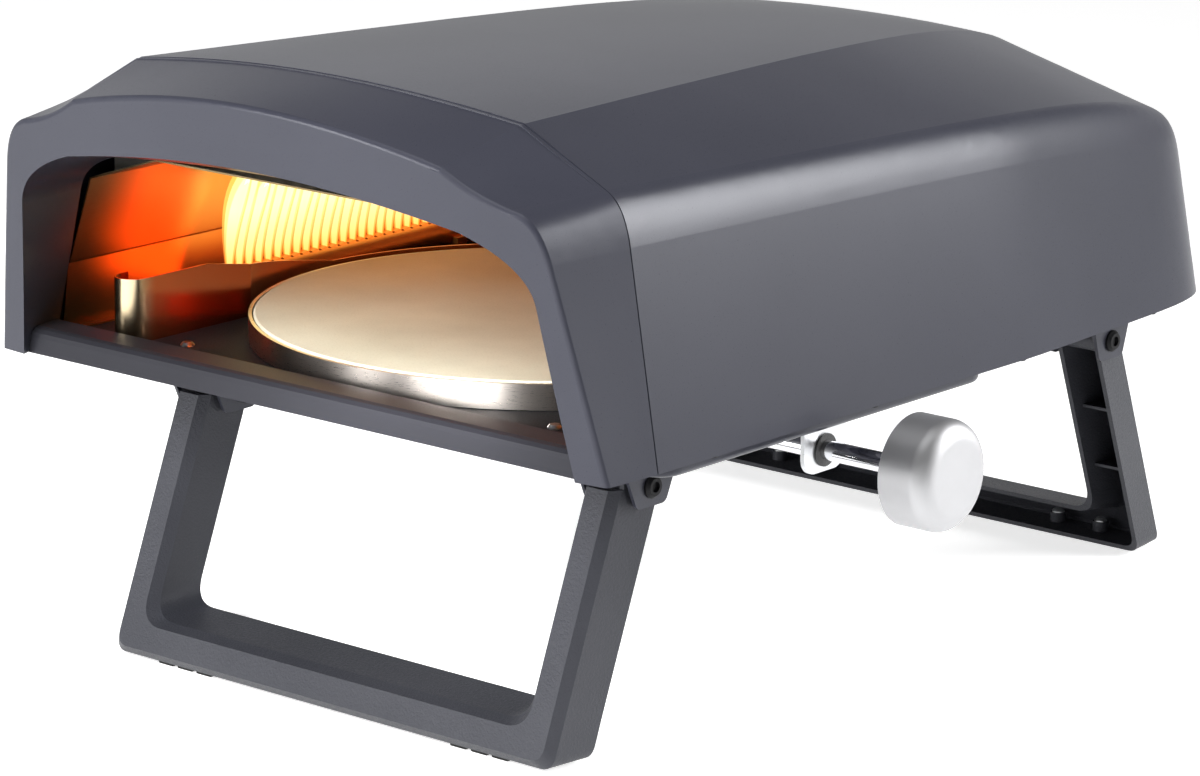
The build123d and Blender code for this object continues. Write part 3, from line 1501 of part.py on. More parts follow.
def knob_back():
    """Back face of the gas knob, clear of the panel by a little more than its travel."""
    return panel_y + panel_sheet + stem_travel + 1.0


def gas_knob():
    """Round control knob with a raised grip bar."""
    y = knob_back()
    place = (burner_out_x, y, stem_z)
    body = turned([(0, 0), (gas_knob_radius, 0), (gas_knob_radius - 1, 6), (gas_knob_radius - 2, 7),
                   (0, 7)], place, (0, 1, 0))
    grip = box(-3.5, 3.5, 0, gas_knob_length, -gas_knob_radius + 3, gas_knob_radius - 3)
    grip = fillet(grip.edges().filter_by(Axis.Y), 3.0)
    knob = body + Pos(*place) * grip
    return knob - rod((burner_out_x, y - 1, stem_z), (0, 1, 0), stem_radius + 0.02, gas_knob_length - 4)


def control_panel():
    """Recessed steel panel at the back, with the knob hole and the inlet hole."""
    left = panel_offset - panel_half_span
    right = panel_offset + panel_half_span
    top = body_bottom + panel_height
    low = body_bottom + flange_thick + plate_thick + 0.5
    block = box(left, right, panel_y, body_length, low, top)
    hollow = box(left + panel_sheet, right - panel_sheet, panel_y + panel_sheet, body_length + 5,
                 low - 5, top - panel_sheet)
    pocket = (block - hollow) & body_solid(0.0, seam_y, body_end)
    pocket = pocket - rod((burner_out_x, panel_y - 1, stem_z), (0, 1, 0), stem_radius + 1.5, 4)
    pocket = pocket - rod((inlet_x, panel_y - 1, inlet_z()), (0, 1, 0), inlet_radius + 0.2, 4)
    return pocket


def inlet_z():
    return plate_top + inlet_rise


def gas_inlet():
    """Threaded inlet stub with its hexagon inside the panel and a relief groove behind the free thread."""
    y = panel_y
    stub = tube((inlet_x, y - inlet_tail, inlet_z()), (0, 1, 0), inlet_radius, inlet_bore,
                inlet_tail + panel_sheet + inlet_length)
    groove = tube((inlet_x, y + panel_sheet + inlet_nut_thick, inlet_z()), (0, 1, 0), inlet_radius + 1,
                  inlet_radius - inlet_relief_depth, inlet_relief)
    flange = extrude(Plane(origin=(inlet_x, y - inlet_hex_thick, inlet_z()), z_dir=(0, 1, 0))
                     * (RegularPolygon(inlet_hex / 2, 6) - Circle(inlet_radius - 0.1)), inlet_hex_thick)
    return stub - groove + flange


def inlet_nut():
    """Nut that clamps the inlet from outside the panel."""
    return extrude(Plane(origin=(inlet_x, panel_y + panel_sheet, inlet_z()), z_dir=(0, 1, 0))
                   * (RegularPolygon(inlet_hex / 2, 6) - Circle(inlet_radius + 0.02)), inlet_nut_thick)


def gas_pipe():
    """Pipe from the inlet to the valve."""
    x0 = burner_out_x + valve_width / 2 + 6
    y0 = valve_front() + valve_length / 2
    points = [(x0, y0, burner_z + 4), (inlet_x - 18, y0, burner_z + 4), (inlet_x, y0 + 12, inlet_z()),
              (inlet_x, panel_y - inlet_tail, inlet_z())]
    path = FilletPolyline(*points, radius=pipe_bend)
    start = Plane(origin=points[0], z_dir=(1, 0, 0))
    return sweep(start * Circle(pipe_radius), path=path)


# Screws

def shell_screws():
    """Screws up through the flange into the base plate."""
    screws = None
    for seat in shell_screw_places() + tab_screw_places():
        screw = dome_screw(seat, (0, 0, -1), flange_thick + plate_thick)
        screws = screw if screws is None else screws + screw
    return screws


def base_screws():
    screws = None
    for seat in base_screw_places():
        screw = dome_screw(seat, (0, 0, 1), plate_thick + 0.5)
        screws = screw if screws is None else screws + screw
    return screws


def drive_screws():
    """Screws of the gear housing and the shaft bracket."""
    screws = None
    for places, grip in ((housing_screw_places(), 2.5), (bracket_screw_places(), bracket_sheet)):
        for seat in places:
            screw = dome_screw(seat, (0, 0, -1), grip + pan_sheet + 1.0)
            screws = screw if screws is None else screws + screw
    return screws


def guard_screws():
    screws = None
    for seat in guard_screw_places():
        screw = dome_screw(seat, (0, 0, 1), guard_sheet)
        screws = screw if screws is None else screws + screw
    return screws


def all_pieces():
    """Every piece of the oven under its node's name."""
    front_leg_piece = front_leg()
    pads = leg_pads()
    screws = pad_screws()
    pieces = {
        "hood": hood(),
        "outer_shell": outer_shell(),
        "front_sill": front_sill(),
        "base_plate": base_plate(),
        "bottom_pan": bottom_pan(),
        "liner": liner(),
        "liner_back": liner_back(),
        "insulation_blanket": insulation_blanket(),
        "turntable_tray": turntable_tray(),
        "pizza_stone": pizza_stone(),
        "spindle": spindle(),
        "spindle_bush": spindle_bush_upper(),
        "spindle_clip": spindle_clip(),
        "tray_screws": tray_screws(),
        "bevel_gear": bevel_gear(),
        "bevel_pinion": bevel_pinion(),
        "gear_housing": gear_housing(),
        "shaft_bush_inner": shaft_bush_inner(),
        "shaft_bush_outer": shaft_bush_outer(),
        "shaft_bracket": shaft_bracket(),
        "drive_shaft": drive_shaft(),
        "shaft_collar": shaft_collar(),
        "drive_knob": drive_knob(),
        "knob_screw": knob_screw(),
        "front_leg": front_leg_piece,
        "rear_leg": to_rear(front_leg_piece),
        "front_leg_pads": pads,
        "rear_leg_pads": to_rear(pads),
        "front_pad_screws": screws,
        "rear_pad_screws": to_rear(screws),
        "hinge_bracket_front_right": hinge_bracket(1, pan_bottom),
        "hinge_bracket_front_left": hinge_bracket(-1, pan_bottom),
        "hinge_bracket_rear_right": to_rear(hinge_bracket(1, plate_bottom)),
        "hinge_bracket_rear_left": to_rear(hinge_bracket(-1, plate_bottom)),
        "hinge_bolts": hinge_bolts(),
        "hinge_screws": hinge_screws(),
        "burner_tube": burner_tube(),
        "burner_supports": burner_supports(),
        "flame_guard": flame_guard(),
        "igniter_electrode": igniter_electrode(),
        "thermocouple": thermocouple(),
        "venturi": venturi(),
        "gas_jet": gas_jet(),
        "gas_valve": gas_valve(),
        "valve_stem": valve_stem(),
        "spring_washer": spring_washer(),
        "return_spring": return_spring(),
        "gas_knob": gas_knob(),
        "control_panel": control_panel(),
        "gas_inlet": gas_inlet(),
        "inlet_nut": inlet_nut(),
        "gas_pipe": gas_pipe(),
        "shell_screws": shell_screws(),
        "base_screws": base_screws(),
        "drive_screws": drive_screws(),
        "guard_screws": guard_screws(),
    }
    return pieces


def main():
    os.makedirs("parts", exist_ok=True)
    pieces = all_pieces()
    whole = Compound(children=[Compound(piece.solids()) for piece in pieces.values()])
    span = whole.bounding_box()
    shift = Pos(-(span.min.X + span.max.X) / 2, -(span.min.Y + span.max.Y) / 2, 0)
    print("moved by", shift.position.X, shift.position.Y)
    for name, piece in pieces.items():
        solids = [shift * solid for solid in piece.solids()]
        export_step(Compound(solids) if len(solids) > 1 else solids[0], "parts/" + name + ".step")


main()
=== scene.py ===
import json
import math

import bpy
from mathutils import Matrix, Vector


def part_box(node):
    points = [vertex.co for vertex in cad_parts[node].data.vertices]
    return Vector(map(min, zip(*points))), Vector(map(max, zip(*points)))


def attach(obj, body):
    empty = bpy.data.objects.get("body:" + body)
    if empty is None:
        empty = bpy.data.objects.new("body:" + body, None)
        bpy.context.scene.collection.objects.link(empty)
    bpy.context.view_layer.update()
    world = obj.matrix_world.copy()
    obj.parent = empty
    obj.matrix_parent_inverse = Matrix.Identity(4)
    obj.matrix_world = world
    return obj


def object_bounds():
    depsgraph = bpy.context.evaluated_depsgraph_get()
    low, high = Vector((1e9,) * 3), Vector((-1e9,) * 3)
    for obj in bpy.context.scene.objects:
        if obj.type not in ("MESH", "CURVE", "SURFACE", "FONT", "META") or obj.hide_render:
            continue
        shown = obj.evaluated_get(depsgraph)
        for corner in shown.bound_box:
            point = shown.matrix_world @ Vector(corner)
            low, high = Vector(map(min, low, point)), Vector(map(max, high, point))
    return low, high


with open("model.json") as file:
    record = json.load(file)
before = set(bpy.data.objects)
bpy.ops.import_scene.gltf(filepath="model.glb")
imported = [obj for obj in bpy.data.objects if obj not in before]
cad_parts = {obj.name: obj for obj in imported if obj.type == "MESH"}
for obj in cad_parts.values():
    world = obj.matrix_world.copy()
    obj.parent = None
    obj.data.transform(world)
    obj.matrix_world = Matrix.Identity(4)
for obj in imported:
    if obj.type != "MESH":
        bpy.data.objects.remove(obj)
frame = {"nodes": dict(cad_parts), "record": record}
nodes = frame["nodes"]
cadLow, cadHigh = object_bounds()
print("frame loaded:", len(nodes), "nodes")

scene = bpy.context.scene

stoneDepth = 0.209                     # from the hood's bottom edge back to the stone's middle, in metres

# the stone lies on the oven's middle plane, so its box shows where the oven stands
stoneLow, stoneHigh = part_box("pizza_stone")
shiftX = (stoneLow.x + stoneHigh.x) / 2
shiftY = (stoneLow.y + stoneHigh.y) / 2 - stoneDepth


def place(x, y, z):
    # millimetres from the middle plane, the hood's bottom edge and the table, to metres in the scene
    return Vector((x / 1000 + shiftX, y / 1000 + shiftY, z / 1000))


# camera

cameraSpec = {
    "position": (1676.4, -1780.9, 814.2),
    "right": (0.77071068, 0.637068, 0.01222332),
    "up": (-0.16712104, 0.18359318, 0.96869195),
    "back": (0.61487853, -0.74862401, 0.24796469),
    "lens": 142.298,
}

cameraData = bpy.data.cameras.new("photoCamera")
camera = bpy.data.objects.new("photoCamera", cameraData)
scene.collection.objects.link(camera)
turn = Matrix((cameraSpec["right"], cameraSpec["up"], cameraSpec["back"])).transposed()
camera.matrix_world = Matrix.Translation(place(*cameraSpec["position"])) @ turn.to_4x4()
cameraData.lens = cameraSpec["lens"]
cameraData.sensor_width = 36.0
cameraData.sensor_fit = "HORIZONTAL"
cameraData.clip_start = 0.05
cameraData.clip_end = 50.0
scene.camera = camera
print("camera set")


# materials

def newMaterial(name):
    material = bpy.data.materials.new(name)
    material.use_nodes = True
    tree = material.node_tree
    shader = next(n for n in tree.nodes if n.type == "BSDF_PRINCIPLED")
    return material, tree, shader


def addNode(tree, kind, **values):
    node = tree.nodes.new(kind)
    for key, value in values.items():
        setattr(node, key, value)
    return node


def objectCoords(tree, scale=(1, 1, 1)):
    coords = addNode(tree, "ShaderNodeTexCoord")
    mapping = addNode(tree, "ShaderNodeMapping")
    mapping.inputs["Scale"].default_value = scale
    tree.links.new(coords.outputs["Object"], mapping.inputs["Vector"])
    return mapping.outputs["Vector"]


def noise(tree, vector, scale, detail=3.0, roughness=0.5):
    node = addNode(tree, "ShaderNodeTexNoise")
    node.inputs["Scale"].default_value = scale
    node.inputs["Detail"].default_value = detail
    node.inputs["Roughness"].default_value = roughness
    tree.links.new(vector, node.inputs["Vector"])
    return node.outputs["Fac"]


noiseLow, noiseHigh = 0.3, 0.7         # nearly all of a noise lies between these


def ramp(tree, factor, stops):
    node = addNode(tree, "ShaderNodeValToRGB")
    elements = node.color_ramp.elements
    while len(elements) < len(stops):
        elements.new(0.5)
    for element, (position, colour) in zip(elements, stops):
        element.position = position
        element.color = (*colour, 1.0)
    tree.links.new(factor, node.inputs["Fac"])
    return node.outputs["Color"]


def spread(tree, factor, low, high):
    # a noise, spread over a range of values
    node = addNode(tree, "ShaderNodeMapRange")
    node.inputs["From Min"].default_value = noiseLow
    node.inputs["From Max"].default_value = noiseHigh
    node.inputs["To Min"].default_value = low
    node.inputs["To Max"].default_value = high
    tree.links.new(factor, node.inputs["Value"])
    return node.outputs["Result"]


def bump(tree, shader, height, strength, distance):
    node = addNode(tree, "ShaderNodeBump")
    node.inputs["Strength"].default_value = strength
    node.inputs["Distance"].default_value = distance
    tree.links.new(height, node.inputs["Height"])
    tree.links.new(node.outputs["Normal"], shader.inputs["Normal"])


coatCloud = 9.0                        # clouds in the paint, per metre
coatDepth = 0.0006                     # depth of its orange peel, in metres


def powderCoat(name, spec):
    # baked paint with soft clouds in its colour and a fine orange peel in its sheen
    material, tree, shader = newMaterial(name)
    vector = objectCoords(tree)
    cloud = noise(tree, vector, coatCloud)
    colour = ramp(tree, cloud, [(noiseLow, spec["dark"]), (noiseHigh, spec["light"])])
    tree.links.new(colour, shader.inputs["Base Color"])
    grain = noise(tree, vector, spec["grain"], 4.0, 0.6)
    low, high = spec["roughness"]
    tree.links.new(spread(tree, grain, low, high), shader.inputs["Roughness"])
    bump(tree, shader, grain, spec["bump"], coatDepth)
    shader.inputs["Specular IOR Level"].default_value = spec.get("specular", 0.5)
    shader.inputs["Specular Tint"].default_value = (*spec.get("tint", (1, 1, 1)), 1)
    return material


def flameGlowTint(tree, colour, cloud, flameGlow):
    # painted flame glow: a colour standing in for the light the burner throws on the steel, growing over
    # the given span and full from its far end
    coords = addNode(tree, "ShaderNodeTexCoord")
    split = addNode(tree, "ShaderNodeSeparateXYZ")
    tree.links.new(coords.outputs["Object"], split.inputs[0])
    amount = addNode(tree, "ShaderNodeMapRange", interpolation_type="SMOOTHSTEP")
    amount.inputs["From Min"].default_value = flameGlow["glowStart"]
    amount.inputs["From Max"].default_value = flameGlow["glowFull"]
    tree.links.new(split.outputs[flameGlow["axis"]], amount.inputs["Value"])
    patchy = addNode(tree, "ShaderNodeMath", operation="MULTIPLY")
    tree.links.new(amount.outputs["Result"], patchy.inputs[0])
    tree.links.new(spread(tree, cloud, 0.8, 1.0), patchy.inputs[1])
    mix = addNode(tree, "ShaderNodeMix", data_type="RGBA")
    mix.inputs["B"].default_value = (*flameGlow["colour"], 1)
    tree.links.new(patchy.outputs[0], mix.inputs["Factor"])
    tree.links.new(colour, mix.inputs["A"])
    return mix.outputs["Result"]


steelCloud = 12.0                      # clouds in the steel, per metre
lineShare = 0.4                        # how much the brushed lines colour it, beside the clouds
lineDepth = 0.0003                     # depth of the lines, in metres


def brushedSteel(name, spec):
    # steel with fine lines in one direction, and a painted flame glow in its colour where asked
    material, tree, shader = newMaterial(name)
    vector = objectCoords(tree, spec["stretch"])
    lines = noise(tree, vector, spec["lines"], 6.0, 0.7)
    cloud = noise(tree, objectCoords(tree), steelCloud)
    blend = addNode(tree, "ShaderNodeMix")
    blend.inputs["Factor"].default_value = lineShare
    tree.links.new(cloud, blend.inputs["A"])
    tree.links.new(lines, blend.inputs["B"])
    colour = ramp(tree, blend.outputs["Result"], [(noiseLow, spec["dark"]), (noiseHigh, spec["light"])])
    if "flameGlow" in spec:
        colour = flameGlowTint(tree, colour, cloud, spec["flameGlow"])
    tree.links.new(colour, shader.inputs["Base Color"])
    shader.inputs["Metallic"].default_value = 1.0
    low, high = spec["roughness"]
    tree.links.new(spread(tree, lines, low, high), shader.inputs["Roughness"])
    bump(tree, shader, lines, spec.get("bump", 0.15), lineDepth)
    if "brushed" in spec:
        # lines run round the piece, so its highlights stretch up and down
        roundLines = addNode(tree, "ShaderNodeTangent", direction_type="RADIAL", axis="Z")
        tree.links.new(roundLines.outputs["Tangent"], shader.inputs["Tangent"])
        shader.inputs["Anisotropic"].default_value = spec["brushed"]
        shader.inputs["Anisotropic Rotation"].default_value = 0.25
    return material


stoneSpec = {
    "dark": (0.59, 0.56, 0.43), "light": (0.73, 0.70, 0.55),
    "clouds": 14.0, "specks": 900.0, "grains": 600.0,      # per metre
    "speckColour": (0.75, 0.72, 0.68), "speckShare": 0.35,
    "bump": 0.35, "depth": 0.0006, "roughness": 0.85,
}


def stoneMaterial(name, spec):
    # fired stone: sandy specks and soft clouds
    material, tree, shader = newMaterial(name)
    vector = objectCoords(tree)
    cloud = noise(tree, vector, spec["clouds"], 5.0)
    base = ramp(tree, cloud, [(0.25, spec["dark"]), (0.75, spec["light"])])
    specks = noise(tree, vector, spec["specks"], 2.0)
    fleck = ramp(tree, specks, [(0.32, spec["speckColour"]), (0.45, (1, 1, 1))])
    mix = addNode(tree, "ShaderNodeMix", data_type="RGBA", blend_type="MULTIPLY")
    mix.inputs["Factor"].default_value = spec["speckShare"]
    tree.links.new(base, mix.inputs["A"])
    tree.links.new(fleck, mix.inputs["B"])
    tree.links.new(mix.outputs["Result"], shader.inputs["Base Color"])
    shader.inputs["Roughness"].default_value = spec["roughness"]
    grain = noise(tree, vector, spec["grains"], 5.0, 0.7)
    bump(tree, shader, grain, spec["bump"], spec["depth"])
    return material


# dark and light are the two ends of each finish's clouds
coats = {
    "body": {"dark": (0.029, 0.030, 0.041), "light": (0.034, 0.035, 0.047), "grain": 1500.0,
             "roughness": (0.27, 0.32), "bump": 0.07, "specular": 0.31, "tint": (0.93, 0.94, 1.0)},
    "legs": {"dark": (0.026, 0.027, 0.033), "light": (0.036, 0.037, 0.044), "grain": 700.0,
             "roughness": (0.40, 0.56), "bump": 0.6, "specular": 0.42, "tint": (0.93, 0.94, 1.0)},
    # painted shade: a darker, duller copy of the body paint for the front sill
    "sill": {"dark": (0.018, 0.018, 0.022), "light": (0.022, 0.022, 0.027), "grain": 1500.0,
             "roughness": (0.44, 0.50), "bump": 0.07, "specular": 0.17, "tint": (0.93, 0.94, 1.0)},
    "black": {"dark": (0.006, 0.006, 0.007), "light": (0.010, 0.010, 0.011), "grain": 800.0,
              "roughness": (0.5, 0.6), "bump": 0.2, "specular": 0.16},
    "rubber": {"dark": (0.010, 0.010, 0.010), "light": (0.018, 0.018, 0.018), "grain": 500.0,
               "roughness": (0.7, 0.85), "bump": 0.3, "specular": 0.3},
    "fibre": {"dark": (0.62, 0.60, 0.55), "light": (0.82, 0.80, 0.75), "grain": 220.0,
              "roughness": (0.85, 0.95), "bump": 0.9, "specular": 0.2},
    "ceramic": {"dark": (0.72, 0.71, 0.68), "light": (0.80, 0.79, 0.76), "grain": 300.0,
                "roughness": (0.2, 0.3), "bump": 0.05},
    "plastic": {"dark": (0.014, 0.014, 0.014), "light": (0.022, 0.022, 0.022), "grain": 1200.0,
                "roughness": (0.4, 0.55), "bump": 0.35},
}

metals = {
    "liner": {"dark": (0.16, 0.11, 0.05), "light": (0.26, 0.19, 0.10), "stretch": (1, 1, 14),
              "lines": 160.0, "roughness": (0.32, 0.40), "bump": 0.03,
              # painted flame glow: the liner turns orange deeper in, toward the burner, where the flames
              # light it
              "flameGlow": {"axis": "Y", "glowStart": place(0, 45, 0).y, "glowFull": place(0, 95, 0).y,
                       "colour": (0.80, 0.34, 0.11)}},
    "guard": {"dark": (0.60, 0.46, 0.28), "light": (0.72, 0.58, 0.38), "stretch": (1, 1, 14),
              "lines": 160.0, "roughness": (0.20, 0.27), "bump": 0.02,
              # painted flame glow: the guard turns deep red just past its front roll, where the flames
              # light it
              "flameGlow": {"axis": "Y", "glowStart": place(0, 44, 0).y, "glowFull": place(0, 60, 0).y,
                       "colour": (0.62, 0.14, 0.04)}},
    "tray": {"dark": (0.62, 0.56, 0.51), "light": (0.70, 0.64, 0.59), "stretch": (1, 1, 24),
             "lines": 140.0, "roughness": (0.26, 0.32), "bump": 0.01, "brushed": 0.7},
    "silver": {"dark": (0.41, 0.41, 0.42), "light": (0.47, 0.47, 0.48), "stretch": (20, 1, 1),
               "lines": 150.0, "roughness": (0.48, 0.54), "bump": 0.01},
    "chrome": {"dark": (0.70, 0.70, 0.72), "light": (0.78, 0.78, 0.80), "stretch": (1, 20, 20),
               "lines": 10.0, "roughness": (0.06, 0.12), "bump": 0.03},
    "zinc": {"dark": (0.50, 0.51, 0.52), "light": (0.68, 0.69, 0.70), "stretch": (1, 1, 1),
             "lines": 120.0, "roughness": (0.25, 0.42)},
    "alloy": {"dark": (0.40, 0.41, 0.42), "light": (0.55, 0.56, 0.57), "stretch": (1, 1, 1),
              "lines": 300.0, "roughness": (0.45, 0.6), "bump": 0.4},
    "gear": {"dark": (0.30, 0.30, 0.31), "light": (0.42, 0.42, 0.43), "stretch": (1, 1, 1),
             "lines": 200.0, "roughness": (0.3, 0.45)},
    "bronze": {"dark": (0.44, 0.30, 0.14), "light": (0.58, 0.42, 0.20), "stretch": (1, 1, 1),
               "lines": 150.0, "roughness": (0.3, 0.42)},
    "brass": {"dark": (0.58, 0.42, 0.18), "light": (0.72, 0.55, 0.26), "stretch": (1, 1, 1),
              "lines": 150.0, "roughness": (0.25, 0.38)},
    "copper": {"dark": (0.56, 0.28, 0.17), "light": (0.72, 0.38, 0.24), "stretch": (1, 1, 1),
               "lines": 60.0, "roughness": (0.25, 0.42)},
}

# one finish for each material slot of the parts list
finishes = {
    "powder_coat": powderCoat("bodyPowderCoat", coats["body"]),
    "leg_coat": powderCoat("legPowderCoat", coats["legs"]),
    "black_coat": powderCoat("blackPlateCoat", coats["black"]),
    "rubber": powderCoat("footRubber", coats["rubber"]),
    "stainless": brushedSteel("linerSteel", metals["liner"]),
    "tray_steel": brushedSteel("trayRingSteel", metals["tray"]),
    "stone": stoneMaterial("cordieriteStone", stoneSpec),
    "satin_silver": brushedSteel("knobSatinSilver", metals["silver"]),
    "bright_chrome": brushedSteel("shaftChrome", metals["chrome"]),
    "zinc": brushedSteel("zincPlate", metals["zinc"]),
    "cast_alloy": brushedSteel("castAlloy", metals["alloy"]),
    "gear_steel": brushedSteel("gearSteel", metals["gear"]),
    "bronze": brushedSteel("bushBronze", metals["bronze"]),
    "brass": brushedSteel("valveBrass", metals["brass"]),
    "copper_pipe": brushedSteel("copperPipe", metals["copper"]),
    "fibre": powderCoat("ceramicFibre", coats["fibre"]),
    "ceramic": powderCoat("electrodeCeramic", coats["ceramic"]),
    "black_plastic": powderCoat("knobPlastic", coats["plastic"]),
}

# pieces that look different from the others of their slot; the sill's coat is a darker, duller copy of
# the body paint, painted shade
special = {
    "front_sill": powderCoat("sillPowderCoat", coats["sill"]),
    "shell_screws": powderCoat("blackenedScrews", coats["black"]),
    "flame_guard": brushedSteel("guardSteel", metals["guard"]),
}

for entry in frame["record"]["subparts"]:
    mesh = nodes[entry["node"]].data
    mesh.materials.clear()
    mesh.materials.append(special.get(entry["node"], finishes[entry["material_slot"]]))
print("materials made:", len(finishes) + len(special))


# floor, backdrop and light

stageSpec = {
    "floorHalf": 6.0,                  # half the floor's side, in metres
    "floorDrop": 0.0002,               # how far the floor lies below the feet, in metres
    "floorColour": (0.80, 0.80, 0.80),
    "floorLift": 0.72,                 # share of white that mirrors and the camera always get
    # rise of a direction above the level, and how bright the studio wall is there
    "wall": [(0.0, 0.40), (0.10, 0.54), (0.20, 0.80), (0.30, 0.62), (0.46, 0.13), (1.0, 0.09)],
    "flagEdge": (0.66, 0.80),          # a dark flag on the right: where its shade begins and is full
    "flagLeaves": 0.3,                 # how much of the wall's light it lets through
}


def floorMaterial(spec):
    # a pale floor with the object's soft shadow, nearly white for the camera and for mirrors
    material = bpy.data.materials.new("studioFloor")
    material.use_nodes = True
    tree = material.node_tree
    tree.nodes.clear()
    output = tree.nodes.new("ShaderNodeOutputMaterial")
    diffuse = tree.nodes.new("ShaderNodeBsdfDiffuse")
    diffuse.inputs["Color"].default_value = (*spec["floorColour"], 1)
    glow = tree.nodes.new("ShaderNodeEmission")
    paths = tree.nodes.new("ShaderNodeLightPath")
    seen = paths.outputs["Is Camera Ray"]
    for kind in ("Is Glossy Ray", "Is Transmission Ray"):
        either = addNode(tree, "ShaderNodeMath", operation="MAXIMUM")
        tree.links.new(seen, either.inputs[0])
        tree.links.new(paths.outputs[kind], either.inputs[1])
        seen = either.outputs[0]
    level = addNode(tree, "ShaderNodeMath", operation="MULTIPLY")
    level.inputs[1].default_value = spec["floorLift"]
    tree.links.new(seen, level.inputs[0])
    tree.links.new(level.outputs[0], glow.inputs["Strength"])
    both = tree.nodes.new("ShaderNodeAddShader")
    tree.links.new(diffuse.outputs[0], both.inputs[0])
    tree.links.new(glow.outputs[0], both.inputs[1])
    tree.links.new(both.outputs[0], output.inputs["Surface"])
    return material


half = stageSpec["floorHalf"]
floorMesh = bpy.data.meshes.new("studioFloor")
corners = [(-half, -half, 0), (half, -half, 0), (half, half, 0), (-half, half, 0)]
floorMesh.from_pydata(corners, [], [(0, 1, 2, 3)])
floorMesh.materials.append(floorMaterial(stageSpec))
floor = bpy.data.objects.new("studioFloor", floorMesh)
floor.location.z = cadLow.z - stageSpec["floorDrop"]
scene.collection.objects.link(floor)

# a bright wall around the oven, dim overhead
world = bpy.data.worlds.new("studioWorld")
scene.world = world
world.use_nodes = True
worldTree = world.node_tree
direction = worldTree.nodes.new("ShaderNodeTexCoord")
axes = worldTree.nodes.new("ShaderNodeSeparateXYZ")
worldTree.links.new(direction.outputs["Generated"], axes.inputs[0])
wall = [(height, (level, level, level)) for height, level in stageSpec["wall"]]
wallLevel = ramp(worldTree, axes.outputs["Z"], wall)
flag = addNode(worldTree, "ShaderNodeMapRange", interpolation_type="SMOOTHSTEP")
flag.inputs["From Min"].default_value = stageSpec["flagEdge"][0]
flag.inputs["From Max"].default_value = stageSpec["flagEdge"][1]
flag.inputs["To Min"].default_value = 1.0
flag.inputs["To Max"].default_value = stageSpec["flagLeaves"]
worldTree.links.new(axes.outputs["X"], flag.inputs["Value"])
shaded = addNode(worldTree, "ShaderNodeMath", operation="MULTIPLY")
worldTree.links.new(wallLevel, shaded.inputs[0])
worldTree.links.new(flag.outputs["Result"], shaded.inputs[1])
paths = worldTree.nodes.new("ShaderNodeLightPath")
seenWall = addNode(worldTree, "ShaderNodeMath", operation="MAXIMUM")   # plain white for the camera
worldTree.links.new(shaded.outputs[0], seenWall.inputs[0])
worldTree.links.new(paths.outputs["Is Camera Ray"], seenWall.inputs[1])
worldTree.links.new(seenWall.outputs[0], worldTree.nodes["Background"].inputs["Strength"])
worldTree.nodes["Background"].inputs["Color"].default_value = (1, 1, 1, 1)

# places in drawing millimetres, sizes in metres, powers in watts, spreads in degrees
lamps = {
    "frontLeftSoftbox": {"at": (-1180, -1970, 600), "aim": (0, 0, 260),
                         "size": (0.60, 0.80), "power": 24.0},
    "rightBackSoftbox": {"at": (1180, 1210, 850), "aim": (150, 250, 260),
                         "size": (0.8, 1.1), "power": 8.5, "spread": 80},
    "topSoftbox": {"at": (0, -300, 2300), "aim": (0, 200, 200),
                   "size": (1.6, 1.6), "power": 14.0},
    "mouthFill": {"at": (60, -1330, 1230), "aim": (-20, 100, 200),
                  "size": (0.8, 0.8), "power": 48.0, "fill": True},
    # a low strip that draws the bright streak on the stone's steel ring
    "ringStrip": {"at": (88, -120, 220), "aim": (50, 56, 184),
                  "size": (0.16, 0.04), "power": 0.11, "spread": 60},
    # what the flames throw on the liner, the guard and the stone
    "flameLight": {"at": (-176, 265, 244), "aim": (0, 300, 200), "size": (0.22, 0.05),
                   "power": 0.014, "colour": (1.0, 0.40, 0.10), "spread": 140},
    "wallGlow": {"at": (-178, 128, 214), "aim": (-213, 88, 232), "size": (0.05, 0.06),
                 "power": 0.0055, "colour": (1.0, 0.12, 0.008), "spread": 70},
    "guardGlow": {"at": (-120, 62, 184), "aim": (-157, 100, 186), "size": (0.02, 0.02),
                  "power": 0.006, "colour": (1.0, 0.12, 0.01), "spread": 110},
}


def addLamp(name, spec):
    lampData = bpy.data.lights.new(name, "AREA")
    lampData.shape = "RECTANGLE"
    lampData.size, lampData.size_y = spec["size"]
    lampData.energy = spec["power"]
    lampData.color = spec.get("colour", (1, 1, 1))
    lampData.spread = math.radians(spec.get("spread", 180))
    lamp = bpy.data.objects.new(name, lampData)
    lamp.location = place(*spec["at"])
    aim = place(*spec["aim"]) - lamp.location
    lamp.rotation_euler = aim.to_track_quat("-Z", "Y").to_euler()
    lamp.visible_camera = False
    lamp.visible_glossy = not spec.get("fill", False)      # a fill lights the paint without a glare
    scene.collection.objects.link(lamp)


for name, spec in lamps.items():
    addLamp(name, spec)
print("floor, wall and lamps set:", len(lamps), "lamps")


# flames along the burner, one row of tongues in three shells

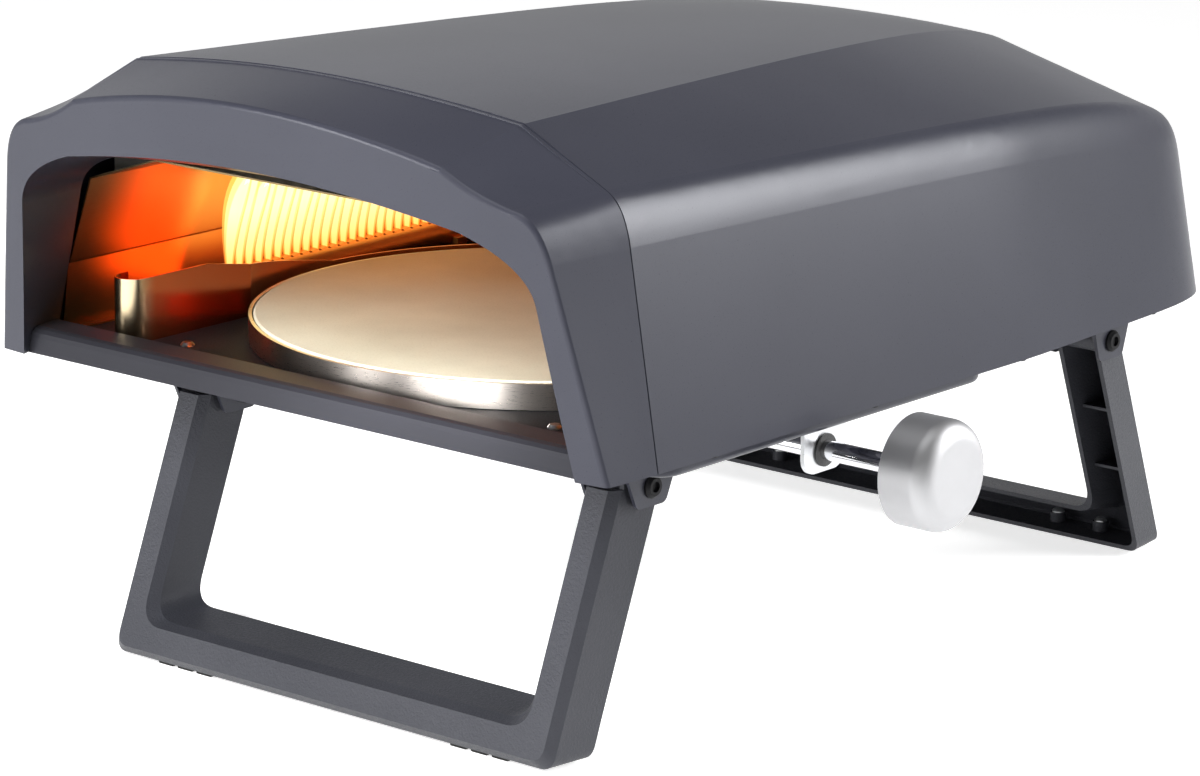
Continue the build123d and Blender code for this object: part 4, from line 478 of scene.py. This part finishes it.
flameSpec = {
    "x": -190.0, "first": 152.0, "pitch": 8.1, "count": 27, "root": 197.0,    # the row, in millimetres
    "lean": 18.0, "leanCurve": 2.2,    # how far the tips lean over the stone, and how late they do
    "rings": 12, "sides": 8,           # of each tongue's mesh
    "rootWidth": 0.4, "swelling": 1.6, "tipCurve": 4, "tipWidth": 0.02,
    "swayStep": 2.4, "sway": 0.14,     # heights vary along the row by this share
    "paleFrom": 45.0,                  # height at which a flame has turned pale, in millimetres
    # from the outer shell to the core: half widths and height, and how dense the glow is
    "shells": [
        {"along": 5.0, "across": 6.2, "rise": 76.0, "low": (1.0, 0.16, 0.01),
         "high": (1.0, 0.66, 0.12), "strength": 1.3, "share": 0.5},
        {"along": 4.3, "across": 4.4, "rise": 72.0, "low": (1.0, 0.50, 0.05),
         "high": (1.0, 0.90, 0.40), "strength": 1.9, "share": 0.6},
        {"along": 3.2, "across": 2.7, "rise": 66.0, "low": (1.0, 0.8, 0.25),
         "high": (1.0, 0.98, 0.75), "strength": 3.0, "share": 0.85},
    ],
}


def flameMaterial(name, shell):
    material = bpy.data.materials.new(name)
    material.use_nodes = True
    tree = material.node_tree
    tree.nodes.clear()
    output = tree.nodes.new("ShaderNodeOutputMaterial")
    coords = tree.nodes.new("ShaderNodeTexCoord")
    split = tree.nodes.new("ShaderNodeSeparateXYZ")
    tree.links.new(coords.outputs["Object"], split.inputs[0])
    height = tree.nodes.new("ShaderNodeMapRange")
    height.inputs["From Min"].default_value = flameSpec["root"] / 1000
    height.inputs["From Max"].default_value = (flameSpec["root"] + flameSpec["paleFrom"]) / 1000
    tree.links.new(split.outputs["Z"], height.inputs["Value"])
    colour = ramp(tree, height.outputs["Result"], [(0.0, shell["low"]), (0.8, shell["high"])])
    glow = tree.nodes.new("ShaderNodeEmission")
    glow.inputs["Strength"].default_value = shell["strength"]
    tree.links.new(colour, glow.inputs["Color"])
    clear = tree.nodes.new("ShaderNodeBsdfTransparent")
    mix = tree.nodes.new("ShaderNodeMixShader")
    mix.inputs["Fac"].default_value = shell["share"]
    tree.links.new(clear.outputs[0], mix.inputs[1])
    tree.links.new(glow.outputs[0], mix.inputs[2])
    tree.links.new(mix.outputs[0], output.inputs["Surface"])
    return material


def tonguePoints(number, shell):
    # one tongue as rings of points, from its root to its tip
    y = flameSpec["first"] + number * flameSpec["pitch"]
    sway = 0.5 + 0.5 * math.sin(number * flameSpec["swayStep"])
    tall = shell["rise"] * (1 - flameSpec["sway"] + flameSpec["sway"] * sway)
    points = []
    for ring in range(flameSpec["rings"] + 1):
        share = ring / flameSpec["rings"]
        width = flameSpec["rootWidth"] + flameSpec["swelling"] * share
        width = width * (1 - share ** flameSpec["tipCurve"]) + flameSpec["tipWidth"]
        x = flameSpec["x"] + flameSpec["lean"] * share ** flameSpec["leanCurve"]
        z = flameSpec["root"] + tall * share
        for side in range(flameSpec["sides"]):
            angle = 2 * math.pi * side / flameSpec["sides"]
            points.append(place(x + shell["across"] * width * math.cos(angle),
                                y + shell["along"] * width * math.sin(angle), z))
    return points


def flameShell(name, shell):
    points, faces = [], []
    rings, sides = flameSpec["rings"], flameSpec["sides"]
    for number in range(flameSpec["count"]):
        start = len(points)
        points += tonguePoints(number, shell)
        for ring in range(rings):
            for side in range(sides):
                a = start + ring * sides + side
                b = start + ring * sides + (side + 1) % sides
                faces.append((a, b, b + sides, a + sides))
    mesh = bpy.data.meshes.new(name)
    mesh.from_pydata(points, [], faces)
    for polygon in mesh.polygons:
        polygon.use_smooth = True
    mesh.materials.append(flameMaterial(name, shell))
    flame = bpy.data.objects.new(name, mesh)
    flame.visible_diffuse = False
    flame.visible_shadow = False
    scene.collection.objects.link(flame)
    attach(flame, "oven_body")


for number, shell in enumerate(flameSpec["shells"]):
    flameShell("burnerFlame%d" % (number + 1), shell)
print("flames set:", flameSpec["count"], "tongues")

scene.view_settings.view_transform = "Standard"
